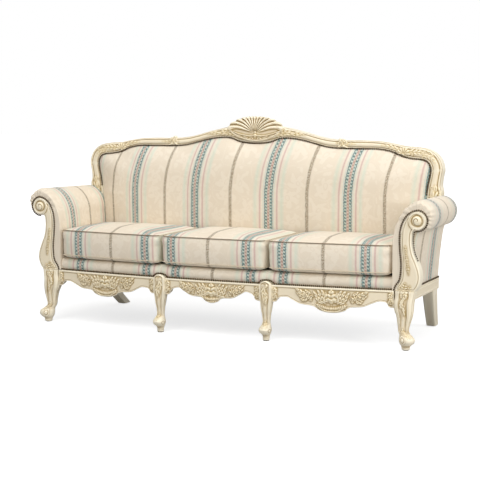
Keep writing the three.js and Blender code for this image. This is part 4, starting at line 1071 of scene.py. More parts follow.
def corner_leg_carving(relief, off, height):
    relief.leaf([(-2, 272), (4, 252), (-2, 228)], 26, 6, 3)
    relief.leaf([(-13, 268), (-14, 250), (-10, 236)], 13, 5, 3)
    relief.leaf([(11, 268), (14, 250), (12, 234)], 13, 5, 3)
    relief.leaf([(2, 240), (-6, 212), (5, 186), (10, 156)], 20, 5)
    relief.leaf([(-4, 226), (-12, 206), (-10, 188)], 12, 4.5, 3)
    relief.rib([(8, 236), (12, 208), (4, 180), (-2, 140)], 4, 5)
    relief.leaf([(0, 62), (0, 84), (0, 106)], 22, 3.5, 3)
    relief.leaf([(-13, 60), (-15, 74), (-13, 88)], 13, 3.2, 3)
    relief.leaf([(13, 60), (15, 74), (13, 88)], 13, 3.2, 3)
    for side in (-1, 1):
        relief.rib([(side * 27, 268), (side * 27, 190), (side * 25, 130), (side * 27, 74)], 6, 3.6,
                   (1, 1, 1, 0.7), gilt=0)
        relief.rib([(side * 50, 262), (side * 50, 190), (side * 46, 130), (side * 48, 78)], 6, 3,
                   (1, 1, 1, 0.6), gilt=0)
    flat = shin_flutes(off, height, 92, 190)
    eye = np.hypot(np.abs(relief.a) - 44, relief.b - 50)
    flat += 4 * half_round(eye, 10) + 2.6 * peak(eye, 17, 3)
    line = 0.85 * peak(np.abs(off), 0.56, 0.05) * ease((height - 70) / 20)
    line = line + 0.6 * peak(np.abs(off), 1.12, 0.05) * ease((height - 70) / 20)
    line = np.maximum.reduce([line, 0.9 * peak(eye, 12, 2), 0.6 * peak(eye, 21, 1.5)])
    return flat, np.maximum(line * (relief.height < 3), relief.contour())


def middle_leg_carving(relief, off, height):
    relief.scroll((3, 262), 8, 2.2, -7, 4, 5)
    relief.leaf([(-2, 256), (-6, 232), (2, 205), (6, 172)], 20, 5)
    relief.leaf([(5, 234), (9, 210), (6, 186)], 11, 5, 3)
    relief.rib([(-8, 256), (-10, 228), (-6, 200), (2, 160)], 3.5, 5)
    relief.leaf([(0, 66), (2, 84), (0, 104)], 17, 3.2, 3)
    relief.leaf([(10, 64), (13, 76), (12, 90)], 11, 3, 3)
    for side in (-1, 1):
        relief.rib([(side * 18, 268), (side * 18, 200), (side * 17, 140), (side * 18, 84)], 5, 3.2,
                   (1, 1, 1, 0.6), gilt=0)
    flat = shin_flutes(off, height, 92, 185)
    eye = np.hypot(np.abs(relief.a) - 29, relief.b - 51)
    flat += 3 * half_round(eye, 7) + 2 * peak(eye, 12, 2.4)
    line = 0.85 * peak(np.abs(off), 0.54, 0.05) * ease((height - 76) / 20)
    line = np.maximum(line, 0.85 * peak(eye, 8.5, 1.8))
    return flat, np.maximum(line * (relief.height < 3), relief.contour())


def knee_shield(name, x):
    """The arched top of a middle leg, with its raised border, in front of the rail."""
    half, top, low = 30.5, MIDDLE_LEG_HIGH.z / MM, RAIL_TOP / MM - 22
    arc = np.linspace(0, pi, 40)
    arch = np.stack([half * np.cos(arc), top - 27 + 27 * np.sin(arc)], 1)
    outline = np.vstack([[(half, low)], arch, [(-half, low)]]) + (x / MM, 0)

    def field(points, gap):
        relief = Relief(points[:, 0] - x / MM, points[:, 1])
        relief.scroll((2, top - 20), 10, 2.4, -7.5, 5, 7)
        relief.leaf([(-4, top - 14), (-12, top - 30), (-8, low - 4)], 18, 6.5)
        relief.leaf([(6, top - 26), (10, top - 36), (8, low - 4)], 16, 6.5)
        edge = np.where(points[:, 1] < low + 8, 30, gap)
        border = 3 + 3 * peak(edge, 3.4, 2) - 1.4 * peak(edge, 7.2, 1.4)
        height = np.maximum(border * ease(edge / 1.5) ** 0.5, relief.height)
        line = peak(edge, 7.2, 1.6) * (relief.height < 4)
        return height, {"gilt": relief.gilt * ease(relief.height / 4),
                        "line": np.maximum(line, relief.contour(4))}

    front = RAIL_FRONT - 3.5 * MM
    return carved_board(name, outline, field, front, RAIL_FRONT + 9.8 * MM, 1.2)


# Across as a share of the apron, and drop as a share of the rail's height
SIDE_APRON = ((0, 1.5), (0.03, 1.46), (0.05, 1.2), (0.08, 1.03), (0.12, 1), (0.17, 1.2), (0.25, 1.55),
              (0.34, 1.66), (0.4, 2), (0.47, 2.17), (0.53, 2.17), (0.6, 2), (0.66, 1.64), (0.74, 1.57),
              (0.83, 1.2), (0.89, 1), (0.925, 1.02), (0.95, 1.2), (0.97, 1.46), (1, 1.5))
HALF_APRON = ((0, 1.5), (0.035, 1.46), (0.058, 1.15), (0.09, 0.9), (0.14, 0.78), (0.2, 1.05), (0.3, 1.45),
              (0.38, 1.5), (0.44, 1.85), (0.5, 1.98))
MIDDLE_APRON = HALF_APRON + tuple((1 - across, drop) for across, drop in HALF_APRON[-2::-1])
RAIL_HEIGHT = 54


def front_sweep(x):
    """The line of the seat front, which swings back towards the arms."""
    return RAIL_FRONT + CORNER_SWEEP * (x / APRON_HIGH.x) ** 2


def apron_carving(relief, half, drop):
    """A palmette between plumes, a gadrooned crescent under it, flowers, sprays and corner brackets.
    Lengths count from the apron's middle and down from the rail top."""
    low = -drop * RAIL_HEIGHT
    # The upright palmette, three leaves and two curls
    relief.leaf([(0, -64), (0, -36), (0, -7)], 44, 9.5, 3)
    relief.leaf([(8, -60), (23, -42), (27, -20)], 20, 8, 2)
    relief.leaf([(12, -64), (32, -56), (40, -44)], 14, 7, 2)
    relief.bead((0, -58), 7, 10.5)
    # The plumes on each side of it, three broad ribs that lean outwards
    for foot, tip in (((20, -66), (50, -9)), ((30, -72), (70, -10)), ((44, -74), (88, -18))):
        way = np.subtract(tip, foot)
        relief.leaf([foot, foot + way * 0.35 + (4, -2), foot + way * 0.75 - (1, -1), tip], 19, 7.5,
                    gilt=0.8)
    relief.scroll((96, -50), 9, 2.6, -7.5, 5, 8)
    # The gadrooned crescent under them
    for share in np.linspace(0.03, 0.95, 8):
        across = share * 66
        z = low + 14 + 17 * share ** 2
        relief.leaf([(across, z + 10), (across + 2, z), (across + 4, z - 8)], 8.5, 7.5, 1)
    relief.rib([(0, low + 6), (30, low + 9), (58, low + 24), (76, low + 40)], 6, 6.5, (1, 1, 0.9, 0.5))
    # A flower and sprays out to the ends
    relief.flower((114, -46), 14, 8.5, 6)
    relief.flower((100, -62), 8, 7.5, 5)
    relief.leaf([(118, -60), (134, -64), (150, -52)], 14, 7, 3)
    relief.leaf([(102, -30), (116, -24), (128, -12)], 13, 7, 3)
    relief.leaf([(122, -34), (140, -28), (156, -19), (174, -9)], 20, 7, 3)
    relief.leaf([(126, -50), (144, -46), (160, -36), (170, -26)], 13, 7, 3)
    relief.rib([(106, -38), (128, -42), (150, -34), (168, -18)], 3.5, 8)
    relief.leaf([(half - 3, -8), (half - 15, -26), (half - 14, -48)], 24, 7)
    relief.scroll((half - 11, -58), 9, 1.2, -7, 4.5, 7.5)
    relief.leaf([(half - 5, -44), (half - 22, -54), (half - 24, -66)], 13, 6.5, 3)


def apron(name, start, stop, table, steps):
    """A front rail with a bead along its top, a shaped and rounded lower edge, and carving."""
    rows = np.linspace(0, len(table) - 1, 1500)
    edge = spline(table, rows)
    sides = (60, 6, 5, 6)
    half = (stop - start) / 2 / MM
    drop = max(pair[1] for pair in table)
    thick, edge_sunk, undercut = 32, 3.2, 9
    bead_at, bead_radius, bead_proud = 4.5, 4.6, 3
    top_proud = bead_proud * half_round(bead_at, bead_radius)

    def place(u, v):
        x = start + (stop - start) * u
        reach = np.interp(u, edge[:, 0], edge[:, 1]) * RAIL_HEIGHT * MM
        side, down, back, _ = around(v, sides)
        # The lower edge is cut away towards the back
        z = RAIL_TOP - down * reach + undercut * MM * down * back * (side > 0)
        below = (RAIL_TOP - z) / MM
        above = (z - RAIL_TOP + reach) / MM
        relief = Relief(np.abs(x - (start + stop) / 2) / MM, -below)
        apron_carving(relief, half, drop)
        bead = bead_proud * half_round(below - bead_at, bead_radius)
        lip = 1.6 * peak(above, 3.2, 2.2) - 1.0 * peak(above, 7, 1.2)
        rounding = 3.2 * (1 - ease(above / 3)) ** 2
        fade = ease((below - 6.5) / 5) * ease((above - 2) / 4)
        height = np.maximum(bead, relief.height * fade) + lip * (relief.height < 1) - rounding
        lower = edge_sunk + back * (thick - edge_sunk)
        upper = back * thick - (1 - back) * top_proud
        y = front_sweep(x) + np.choose(side, [-height, lower, lower, upper]) * MM
        line = peak(above, 7, 1.3) + 0.7 * peak(below, 10, 1.4)
        values = {"gilt": relief.gilt * ease(relief.height * fade / 2),
                  "line": np.maximum(line * (1 - np.clip(relief.height * fade / 2, 0, 1)),
                                     0.7 * relief.contour() * fade) * (side == 0)}
        return np.stack([x, y, z], 1), values

    piece = sheet(name, steps, sum(sides), place)
    return mark_hollows(piece)


def rear_leg():
    """A plain sabre leg: a rounded square that sweeps back and in to its foot."""
    low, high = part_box("rear_leg_right")

    def place(u, v):
        sweep = u ** 1.35
        width = (60 - 14 * u) * MM
        depth = (78 - 14 * u) * MM
        across, along = rounded_square(2 * pi * v, 9)
        outer = high.x - 38 * MM * sweep - 4 * MM * u
        rear = BACK_FACE + (high.y - BACK_FACE) * sweep
        x = outer - width / 2 + across * width / 2
        y = rear - depth / 2 + along * depth / 2
        return np.stack([x, y, high.z + (low.z - high.z) * u], 1), {}

    return mark_hollows(sheet("sabre_leg_right", 60, 72, place))


def side_rail_bead():
    """The two beads worked along the side rail."""
    low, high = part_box("side_rail_right")
    beads = []
    for rise in (9 * MM, 40 * MM):
        spots = np.linspace(low.y + 3 * MM, high.y - 3 * MM, 60)
        path = np.stack([np.full(60, high.x), spots, np.full(60, low.z + rise)], 1)
        beads.append(cord_round("bead", path, 2.6 * MM, closed=False))
    return mark_hollows(join_meshes("side_rail_bead_right", beads))


# Upholstery

# Places across the back, and the places in the cloth laid there: it is drawn tighter on the right
BACK_STRIPES = ((-1.1, -1.38), (-0.813, -1), (-0.672, -0.8), (-0.493, -0.6), (-0.319, -0.4), (-0.114, -0.2),
                (0.1, 0), (0.309, 0.2), (0.527, 0.4), (0.716, 0.6), (0.921, 0.8), (1.1, 0.98))
BAND_AT_ARM = -0.17
ARM_STRETCH = 0.86
OUTER_BAY = 0.565


def bay_of(x):
    """The middle of the bay that each place across the seat falls in."""
    return np.where(x > BAY_SEAM, OUTER_BAY, np.where(x < -BAY_SEAM, -OUTER_BAY, 0))


def back_opening(bottom):
    """The rim of the opening inside the back frame, the line it draws in to, and that line's height."""
    rows = np.linspace(0, LAST_ROW, 600)
    side = inner_edge(rows)
    last = int(np.argmax((side[:, 1] < bottom) & (rows > ARM_ROW)))
    spine_half, spine_z = 0.7 * side[last, 0], bottom + 0.42 * (SHELL_TOP - bottom)
    upper = side[:np.argmax((side[:, 1] < spine_z) & (rows > CREST_END_ROW))][::-1]
    lower = np.vstack([side[len(upper) - 1:last], [(side[last, 0], bottom), (0, bottom)]])
    halves = []
    for path in (upper, lower):
        along = lengths(path)
        halves.append(sample(np.linspace(0, along[-1], 121), along, path))
    over, under = halves
    ring = np.vstack([over, over[-2::-1] * (-1, 1), under[1:] * (-1, 1), under[-2::-1]])
    spine = spine_half * (1 - 2 * np.linspace(0, 1, (len(ring) - 1) // 2 + 1))
    return ring, np.concatenate([spine, spine[-2::-1]]), spine_z


def drawn_in(name, bottom, rows, turn, shape):
    """A covered pad over the back's opening. turn is the rows that go back round its edge; shape takes
    places on the face, their gap and share from the rim and share round the edge, and returns Y."""
    ring, spine, spine_z = back_opening(bottom)
    count = len(ring) - 1

    def place(u, v):
        k = u * count
        edge = sample(k, np.arange(count + 1), ring)
        middle = np.stack([np.interp(k, np.arange(count + 1), spine), np.full(len(k), spine_z)], 1)
        share = 1 - (1 - np.clip((v * rows - turn) / (rows - turn), 0, 1)) ** 1.5
        flat = edge + (middle - edge) * (0.004 + 0.996 * share)[:, None]
        gap = np.linalg.norm(flat - edge, axis=1)
        angle = np.arctan2(edge[:, 1] - spine_z, edge[:, 0])
        y = shape(flat, gap, share, np.clip(1 - v * rows / turn, 0, 1), angle)
        lean = 42 * MM * np.clip((flat[:, 1] - 0.66) / 0.25, 0, 1.1) ** 1.5
        across = np.interp(flat[:, 0] - lean, *np.array(BACK_STRIPES).T)
        return np.stack([flat[:, 0], y, flat[:, 1]], 1), {"cloth": (across, flat[:, 1])}

    return sheet(name, count, rows, place)


def tight_back():
    """The stuffed back, drawn in all round to the frame and full in the middle."""
    def shape(flat, gap, share, back, angle):
        bulge = 1 - np.clip(1 - share / 0.7, 0, 1) ** 2.6
        pull = 1.1 * np.sin(angle * 61) * peak(gap, 0.03, 0.025)
        wave = 0.9 * np.sin(flat[:, 0] * 15 + 1) * np.sin(flat[:, 1] * 11)
        return BACK_FRONT - bulge * 70 * MM + (pull + wave) * MM * bulge + back * 22 * MM

    return drawn_in("tight_back", DECK_TOP + 1 * MM, 66, 6, shape)


def outside_back():
    """The cloth stretched over the back, with faint pulls from its tacked edge."""
    def shape(flat, gap, share, back, angle):
        drawn = 1 - np.clip(1 - share / 0.25, 0, 1) ** 2
        pull = 0.5 * np.sin(angle * 83) * peak(gap, 0.02, 0.02)
        # Wider at the bottom, where the posts lean in
        flat[:, 0] *= 1 + 0.022 * np.clip((0.62 - flat[:, 1]) / 0.33, 0, 1)
        return BACK_FACE - 5 * MM + (drawn * 3 + pull) * MM - back * 6 * MM

    return drawn_in("outside_back", RAIL_TOP + 1 * MM, 44, 4, shape)


# Inside arm, roll and under-roll: across and up as shares of the arm's width and rise
ARM_PROFILE = ((0, 0), (0, 0.155), (-0.004, 0.36), (0, 0.52), (0.025, 0.64), (0.1, 0.77), (0.24, 0.885),
               (0.43, 0.968), (0.63, 1), (0.82, 0.975), (0.955, 0.91), (1, 0.83), (0.96, 0.75),
               (0.86, 0.69), (0.72, 0.662), (0.5, 0.656), (0.22, 0.625), (0.155, 0.5), (0.147, 0))
# How much of the roll's drift towards the middle each row takes, from front to back
DRIFT_SHARES = (0, 0, 0, 0, 0.05, 0.65, 1.1, 1.1, 1, 1, 1, 1, 1, 1, 1, 1, 0.3, 0, 0)
ROLL_CENTRE = (0.63, 0.83)
PAD_FRONT = FACING_FRONT + 6 * MM
BULLNOSE = 42 * MM


def stuffed_arm():
    """The inside arm and its roll, with the cloth pleated round the scroll at the front."""
    line = smooth_path([arm_point(*pair) for pair in ARM_PROFILE], 12) * MM
    along = lengths(line)
    roll = arm_point(*ROLL_CENTRE) * MM
    spine = smooth_path([arm_point(*pair) for pair in (
        (0.073, -0.06), (0.073, 0.3), (0.075, 0.54), (0.18, 0.7), (0.38, 0.79), ROLL_CENTRE)], 8) * MM
    rows = np.linspace(0, len(ARM_PROFILE) - 1, len(line))
    drifts = np.interp(rows, np.arange(len(ARM_PROFILE)), DRIFT_SHARES)
    outer_side = np.interp(rows, (15.5, 16.5), (0, 1))
    facing_side = facing_edges()[0] * MM
    facing_side = facing_side[:np.argmax(facing_side[:, 1])]
    foot = DECK_LOW.z
    length = BACK_FACE - PAD_FRONT
    ends, capped = 0.2, 0.55

    def place(u, v):
        at = u * along[-1]
        edge = sample(at, along, line)
        edge[:, 1] = np.maximum(edge[:, 1], foot)
        in_roll = ease((u - 0.26) / 0.06) * ease((0.76 - u) / 0.06)
        away = edge[:, None, :] - spine[None]
        core = spine[np.argmin((away ** 2).sum(2), 1)]
        core[:, 1] = np.maximum(core[:, 1], foot)
        front = np.clip(1 - v / ends, 0, 1)
        rear = np.clip(1 - (1 - v) / ends, 0, 1)
        end = np.maximum(front, rear)
        turn = np.clip(end / capped, 0, 1) * pi / 2
        scale = np.where(end > capped, 0.8 * (1 - (end - capped) / (1 - capped)),
                         1 - 0.2 * (1 - np.cos(turn)))
        reach = BULLNOSE * (1 - np.sin(turn))
        inner = (v - ends) / (1 - 2 * ends)
        y = np.where(front > 0, PAD_FRONT + reach,
                     np.where(rear > 0, BACK_FACE - reach,
                              PAD_FRONT + BULLNOSE + inner * (length - 2 * BULLNOSE)))
        flat = core + (edge - core) * scale[:, None]
        away = flat - roll
        turned = np.arctan2(away[:, 1], away[:, 0])
        folds = turned * 8.5 + 0.7 * np.sin(turned * 3 + 1)
        pleat = np.abs(np.sin(folds)) ** 0.6 * (0.75 + 0.25 * np.sin(turned * 5))
        gather = in_roll * np.exp(-np.clip(y - PAD_FRONT - 20 * MM, 0, 1) / 0.045) * ease(scale / 0.5)
        sink = 5.5 * MM * (pleat - 0.8) * gather
        flat = flat + away / np.maximum(np.linalg.norm(away, axis=1), 1e-6)[:, None] * sink[:, None]
        y = y - np.where(front > 0, 5 * MM * (pleat - 0.8) * in_roll * ease(scale / 0.4), 0)
        drift = np.interp(at, along, drifts) * np.clip((y - PAD_FRONT) / length, 0, 1)
        flat[:, 0] -= 1.3 * ROLL_DRIFT * drift
        beside = np.interp(flat[:, 1], facing_side[:, 1], facing_side[:, 0]) - 1 * MM
        filled = np.interp(at, along, outer_side) * np.exp(-np.clip(y - PAD_FRONT - 50 * MM, 0, 1) / 0.02)
        flat[:, 0] += filled * np.clip(scale / 0.8, 0, 1) * np.maximum(beside - flat[:, 0], 0)
        flat[:, 1] -= 10 * MM * drift * in_roll
        across = (y - BAND_AT_ARM) / ARM_STRETCH
        return np.stack([flat[:, 0], y, flat[:, 1]], 1), {"cloth": (across, at * scale)}

    return sheet("stuffed_arm_right", 190, 130, place)


PANEL_OUTER = ((0.372, 0), (0.395, 0.168), (0.435, 0.36), (0.49, 0.555), (0.525, 0.62), (0.55, 0.645))


def outside_arm():
    """The outside arm: cloth hung from under the roll in soft vertical folds."""
    line = smooth_path([arm_point(*pair) for pair in PANEL_OUTER], 12) * MM
    line[0, 1] = DECK_LOW.z
    along = lengths(line)
    sides = (70, 2, 20, 2)

    def place(u, v):
        y = FACING_HIGH.y - 6 * MM + (BACK_FACE - 2 * MM - FACING_HIGH.y + 6 * MM) * u
        side, up, inward, _ = around(v, sides)
        at = up * along[-1]
        x = np.interp(at, along, line[:, 0])
        z = np.interp(at, along, line[:, 1])
        fold = np.abs(np.sin(u * 3.1 * pi + 0.5 + 0.5 * up)) ** 1.4
        fold = fold + 0.4 * np.abs(np.sin(u * 7.3 * pi + up)) ** 2
        hang = 0.35 + 0.65 * np.sin(pi * np.clip(up, 0, 1)) ** 0.5
        edge = ease(u / 0.05) * ease((1 - u) / 0.05)
        x = x + np.where(side == 0, (5.2 * fold - 3.4) * hang * edge * MM, 0) - inward * 12 * MM
        return np.stack([x, y, z], 1), {"cloth": ((y - 0.07) / 0.95, at)}

    return sheet("outside_arm_cloth_right", 150, sum(sides), place)


# Back and up, as shares of the border's depth and height
BORDER_SECTION = ((0, 0), (-0.06, 0.3), (-0.045, 0.58), (0.06, 0.83), (0.3, 0.965))


def front_border():
    """The stuffed roll along the seat front, sewn at each bay."""
    section = np.vstack([smooth_path(BORDER_SECTION, 8), [(1, 0.98), (1, 0), (0, 0)]])
    along = lengths(section * (62, 61))
    half = SEAT_HALF - 0.5 * MM

    def place(u, v):
        x = -half + 2 * half * u
        at = v * along[-1]
        back, up = sample(at, along, section).T
        seam = peak(np.abs(x), BAY_SEAM, 0.012) * (back < 0.3)
        pucker = np.sin(x * 260) * peak(np.abs(x), BAY_SEAM, 0.05) * (back < 0.3)
        swell = 3.0 * MM * np.sin(pi * np.clip(up, 0, 1)) * (back < 0.5)
        y = front_sweep(x) + (15 + back * 57) * MM + (3 * seam + 0.6 * pucker) * MM - swell
        z = DECK_LOW.z + up * (DECK_TOP - DECK_LOW.z)
        return np.stack([x, y, z], 1), {"cloth": (x - bay_of(x) + 0.2, at * MM)}

    return sheet("stuffed_front_border", 360, 60, place)


def seat_deck():
    """The seat's stuffed deck under the cushions, in lining cloth, with a shallow crown over each bay."""
    sides = (44, 4, 8, 4)
    half = DECK_HIGH.x - 0.5 * MM

    def place(u, v):
        x = -half + 2 * half * u
        side, back, down, _ = around(v, sides)
        front = front_sweep(x) + 73 * MM
        y = front + back * (DECK_HIGH.y - 1 * MM - front)
        sunk = 4 * np.abs(np.cos(x * 5.55)) ** 8 + 3 * (2 * back - 1) ** 6
        sunk = sunk + 0.6 * np.sin(x * 31) * np.sin(y * 43)
        top = DECK_TOP - (0.7 + np.where(side == 0, np.maximum(sunk, 0), 3)) * MM
        return np.stack([x, y, top - down * (top - DECK_LOW.z)], 1), {}

    return sheet("lined_seat_deck", 220, sum(sides), place)


def dust_cover():
    """The lining tacked under the seat frame, cut round the legs and slack between its tacks."""
    low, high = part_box("dust_cover")
    notch, step = 3 * MM, 0.2 * MM
    rear_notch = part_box("rear_leg_right")[0].x - notch
    front_notch = LEG_LOW.x - notch
    before_leg = high.y - 73 * MM
    behind_leg = FACING_HIGH.y + notch
    edges = np.array([(0, low.y, high.y), (rear_notch, low.y, high.y),
                      (rear_notch + step, low.y, before_leg), (front_notch, low.y, before_leg),
                      (front_notch + step, behind_leg, before_leg),
                      (high.x - 0.5 * MM, behind_leg, before_leg)])
    edges = edges[np.argsort(edges[:, 0])]
    right = np.sort(np.concatenate([np.linspace(0, edges[-1, 0], 80), edges[1:-1, 0]]))
    columns = np.concatenate([-right[:0:-1], right])
    sides = (24, 1, 24, 1)

    def place(u, v):
        x = np.interp(u * (len(columns) - 1), np.arange(len(columns)), columns)
        _, back, up, _ = around(v, sides)
        front, rear = (np.interp(np.abs(x), edges[:, 0], edges[:, k]) for k in (1, 2))
        y = front + back * (rear - front)
        slack = np.sin(pi * back) * (2.2 + 0.8 * np.sin(x * 23 + 3 * back))
        return np.stack([x, y, low.z - slack * MM + up * 1.2 * MM], 1), {}

    return sheet("lining_under_seat", len(columns) - 1, sum(sides), place)


CUSHION_BOTTOM = DECK_TOP + 0.3 * MM
CUSHION_EDGE = CUSHION_BOTTOM + 144 * MM
CUSHION_FRONT = RAIL_FRONT - 7 * MM
CUSHION_BACK = BACK_FRONT - 71.5 * MM


# Out from the middle as a share of the plan, and up as a share of 140 mm
CUSHION_SECTION = ((0.02, 0), (0.5, 0), (0.86, 0), (0.95, 0.015), (0.985, 0.08), (1, 0.3), (1.004, 0.6),
                   (0.99, 0.98), (0.85, 1.08), (0.5, 1.15), (0.02, 1.17))


def cushion_plan(start, stop, angle, inset):
    """The outline of a boxed cushion: a rounded square that follows the seat's swept front."""
    u, v = rounded_square(angle, 18)
    half_x, half_y = (stop - start) / 2 - inset, (CUSHION_BACK - CUSHION_FRONT) / 2 - inset
    x = (start + stop) / 2 + u * half_x
    y = (CUSHION_BACK + CUSHION_FRONT) / 2 + v * half_y
    return x, y + (front_sweep(x) - RAIL_FRONT) * (1 - v) / 2


def boxed_cushion(name, start, stop):
    """A boxed seat cushion: the cut cover, blown up by its filling as far as its seams allow."""
    drawn = smooth_path(CUSHION_SECTION, 12)
    along = lengths(drawn * (0.25, 0.15))

    def place(u, v):
        share, rise = sample(v * along[-1], along, drawn).T
        x, y = cushion_plan(start, stop, 2 * pi * u, 3 * MM)
        mid_x, mid_y = (start + stop) / 2, (CUSHION_BACK + CUSHION_FRONT) / 2
        x = mid_x + (x - mid_x) * share
        y = mid_y + (y - mid_y) * share
        z = CUSHION_BOTTOM + 2 * MM + rise * 140 * MM
        return np.stack([x, y, z], 1), {}

    piece = sheet(name, 240, 120, place)
    plump(piece)
    lay_cover(piece, start, stop)
    return piece


CLOTH_SETTINGS = {
    "quality": 5, "mass": 0.4, "tension_stiffness": 12, "compression_stiffness": 12,
    "bending_stiffness": 0.8, "use_pressure": True, "uniform_pressure_force": 3.5,
    "vertex_group_mass": "seams",
}


def plump(piece):
    """Blows the cover up in a cloth simulation, and keeps every point near its place."""
    remesh = piece.modifiers.new("Even net", "REMESH")
    remesh.mode = "VOXEL"
    remesh.voxel_size = 6.5 * MM
    apply_modifiers(piece)
    before = read_points(piece.data)
    held = piece.vertex_groups.new(name="seams")
    inward = np.minimum(before - before.min(0), before.max(0) - before)[:, :2].min(1)
    for level in (CUSHION_BOTTOM + 12 * MM, CUSHION_EDGE - 3 * MM):
        seam = (np.abs(before[:, 2] - level) < 4 * MM) & (inward < 50 * MM)
        held.add([int(k) for k in np.flatnonzero(seam)], 1.0, "REPLACE")
    cloth = piece.modifiers.new("Filling", "CLOTH")
    for key, value in CLOTH_SETTINGS.items():
        setattr(cloth.settings, key, value)
    cloth.settings.effector_weights.gravity = 0
    cloth.collision_settings.use_collision = False
    scene = bpy.context.scene
    for step in range(1, 21):
        scene.frame_set(step)
    apply_modifiers(piece)
    scene.frame_set(1)
    after = read_points(piece.data)
    moved = after - before
    size = np.maximum(np.linalg.norm(moved, axis=1, keepdims=True), 1e-9)
    after = before + moved * np.minimum(1, 22 * MM / size)
    after[:, 2] = np.maximum(after[:, 2], CUSHION_BOTTOM)
    write_points(piece.data, after)
    finer = piece.modifiers.new("Finer", "SUBSURF")
    finer.levels = finer.render_levels = 1
    apply_modifiers(piece)
    piece.vertex_groups.clear()
    piece.data.shade_smooth()


def apply_modifiers(piece):
    """Turns a piece's modifiers into its mesh."""
    graph = bpy.context.evaluated_depsgraph_get()
    shaped = bpy.data.meshes.new_from_object(piece.evaluated_get(graph))
    piece.modifiers.clear()
    piece.data = shaped


def lay_cover(piece, start, stop):
    """Fits the blown-up cover into its bay and gives it the cloth's coordinates."""
    points = read_points(piece.data)
    gap = 1.4 * MM
    x0, x1 = start + gap, stop - gap
    over = np.maximum(points[:, 0] - x1, 0) - np.maximum(x0 - points[:, 0], 0)
    points[:, 0] -= over
    points[:, 1] = np.minimum(points[:, 1], CUSHION_BACK)
    write_points(piece.data, points)
    middle = OUTER_BAY * np.sign(start + stop) if abs(start + stop) > 0.1 else -16 * MM
    set_cloth_map(piece.data, points[:, 0] - middle + 0.2, points[:, 1] + points[:, 2])


def cord_round(name, path, radius, sides=8, closed=True):
    """A cord of a given radius along a path of points."""
    path = np.asarray(path)
    count = len(path) - 1
    way = np.gradient(path, axis=0)
    if closed:
        way[0] = way[-1] = path[1] - path[-2]
    way /= np.linalg.norm(way, axis=1, keepdims=True)
    first = np.cross(way, (0, 0, 1.0))
    first /= np.maximum(np.linalg.norm(first, axis=1, keepdims=True), 1e-9)
    second = np.cross(way, first)

    def place(u, v):
        k = u * count
        spot, right, up = (sample(k, np.arange(count + 1), table) for table in (path, first, second))
        turn = (2 * pi * v)[:, None]
        return spot + radius * (np.cos(turn) * right + np.sin(turn) * up), {}

    return sheet(name, count, sides, place, ends=not closed)


def cushion_welt(name, start, stop, level, turns, inset, radius=2.2 * MM):
    """A welt sewn along an edge of a cushion's boxing, between two turns counted from its right side."""
    angle = pi * np.linspace(*turns, 241)
    x, y = cushion_plan(start, stop, angle, inset)
    closed = turns[1] - turns[0] == 2
    return cord_round(name, np.stack([x, y, np.full(len(x), level)], 1), radius, closed=closed)


# Nails

NAIL_RADIUS = 4.6 * MM
NAIL_RISE = 0.62 * NAIL_RADIUS
NAIL_SPACING = 9.6 * MM


def moved_out(path, distance):
    """A path moved to its left by a distance."""
    way = np.gradient(path, axis=0)
    way /= np.linalg.norm(way, axis=1, keepdims=True)
    return path + distance * np.stack([-way[:, 1], way[:, 0]], 1)


def upright(path, y):
    """A path across and up, set at one depth."""
    return np.stack([path[:, 0], np.full(len(path), y), path[:, 1]], 1)


def nail_row(name, paths):
    """Domed nail heads, edge to edge, along paths. Each path is its points and the way out of the cloth."""
    mesh = bmesh.new()
    for path, out in paths:
        path = np.asarray(path)
        along = lengths(path)
        count = max(int(along[-1] / NAIL_SPACING), 1)
        spots = np.linspace(NAIL_SPACING / 2, along[-1] - NAIL_SPACING / 2, count)
        facing = Vector(out).to_track_quat("Z", "Y").to_matrix().to_4x4()
        scale = Matrix.Diagonal((NAIL_RADIUS, NAIL_RADIUS, NAIL_RISE, 1))
        for at in sample(spots, along, path):
            bmesh.ops.create_uvsphere(mesh, u_segments=8, v_segments=6, radius=1,
                                      matrix=Matrix.Translation(at.tolist()) @ facing @ scale)
    data = bpy.data.meshes.new(name)
    mesh.to_mesh(data)
    mesh.free()
    data.shade_smooth()
    return new_piece(name, data)


# Sizes and colours that a user may change

def colour(name, description, code):
    return FloatVectorProperty(name=name, description=description, subtype="COLOR", size=4, min=0, max=1,
                               default=linear(code))


class SofaPaintColours(bpy.types.PropertyGroup):
    cream: colour("Cream paint", "The paint on the show wood", "#F0E3C8")
    gold: colour("Gold tint", "The gold glaze over the carving", "#E2CB92")
    umber: colour("Umber glaze", "The glaze left in the hollows", "#A98C50")


class SofaClothColours(bpy.types.PropertyGroup):
    ivory: colour("Ivory", "The damask's ground", "#E6D9C5")
    rose: colour("Rose", "The rose stripes", "#C89A95")
    mint: colour("Mint", "The mint stripes", "#C3D9C9")
    brick: colour("Brick", "The lozenges in the bands", "#8F5146")
    chenille: colour("Chenille", "The cord between the bands", "#87765E")


class SofaLight(bpy.types.PropertyGroup):
    level: FloatProperty(name="Studio light", description="Strength of the overhead light", default=1.0,
                         min=0, max=5, subtype="FACTOR")


FINISHES = {}


def finish_of(slot):
    """The finish for a material slot, made the first time it is asked for."""
    scene = bpy.context.scene
    makers = {
        "painted_wood": lambda: glazed_paint(scene.sofa_paint), "bare_wood": bare_beech,
        "striped_damask": lambda: striped_damask(scene.sofa_cloth), "jute_webbing": jute,
        "black_lining": black_cambric, "antique_bronze": antique_bronze, "screw_steel": zinc_steel,
        "glide_plastic": moulded_nylon,
        "brown_welt": lambda: welt_cord("Brown cotton welting", "#7A6A55", "#A08D74"),
        "ivory_welt": lambda: welt_cord("Ivory cotton welting", "#C9BA9F", "#DFD2BA"),
    }
    if slot not in FINISHES:
        FINISHES[slot] = makers[slot]()
    return FINISHES[slot]


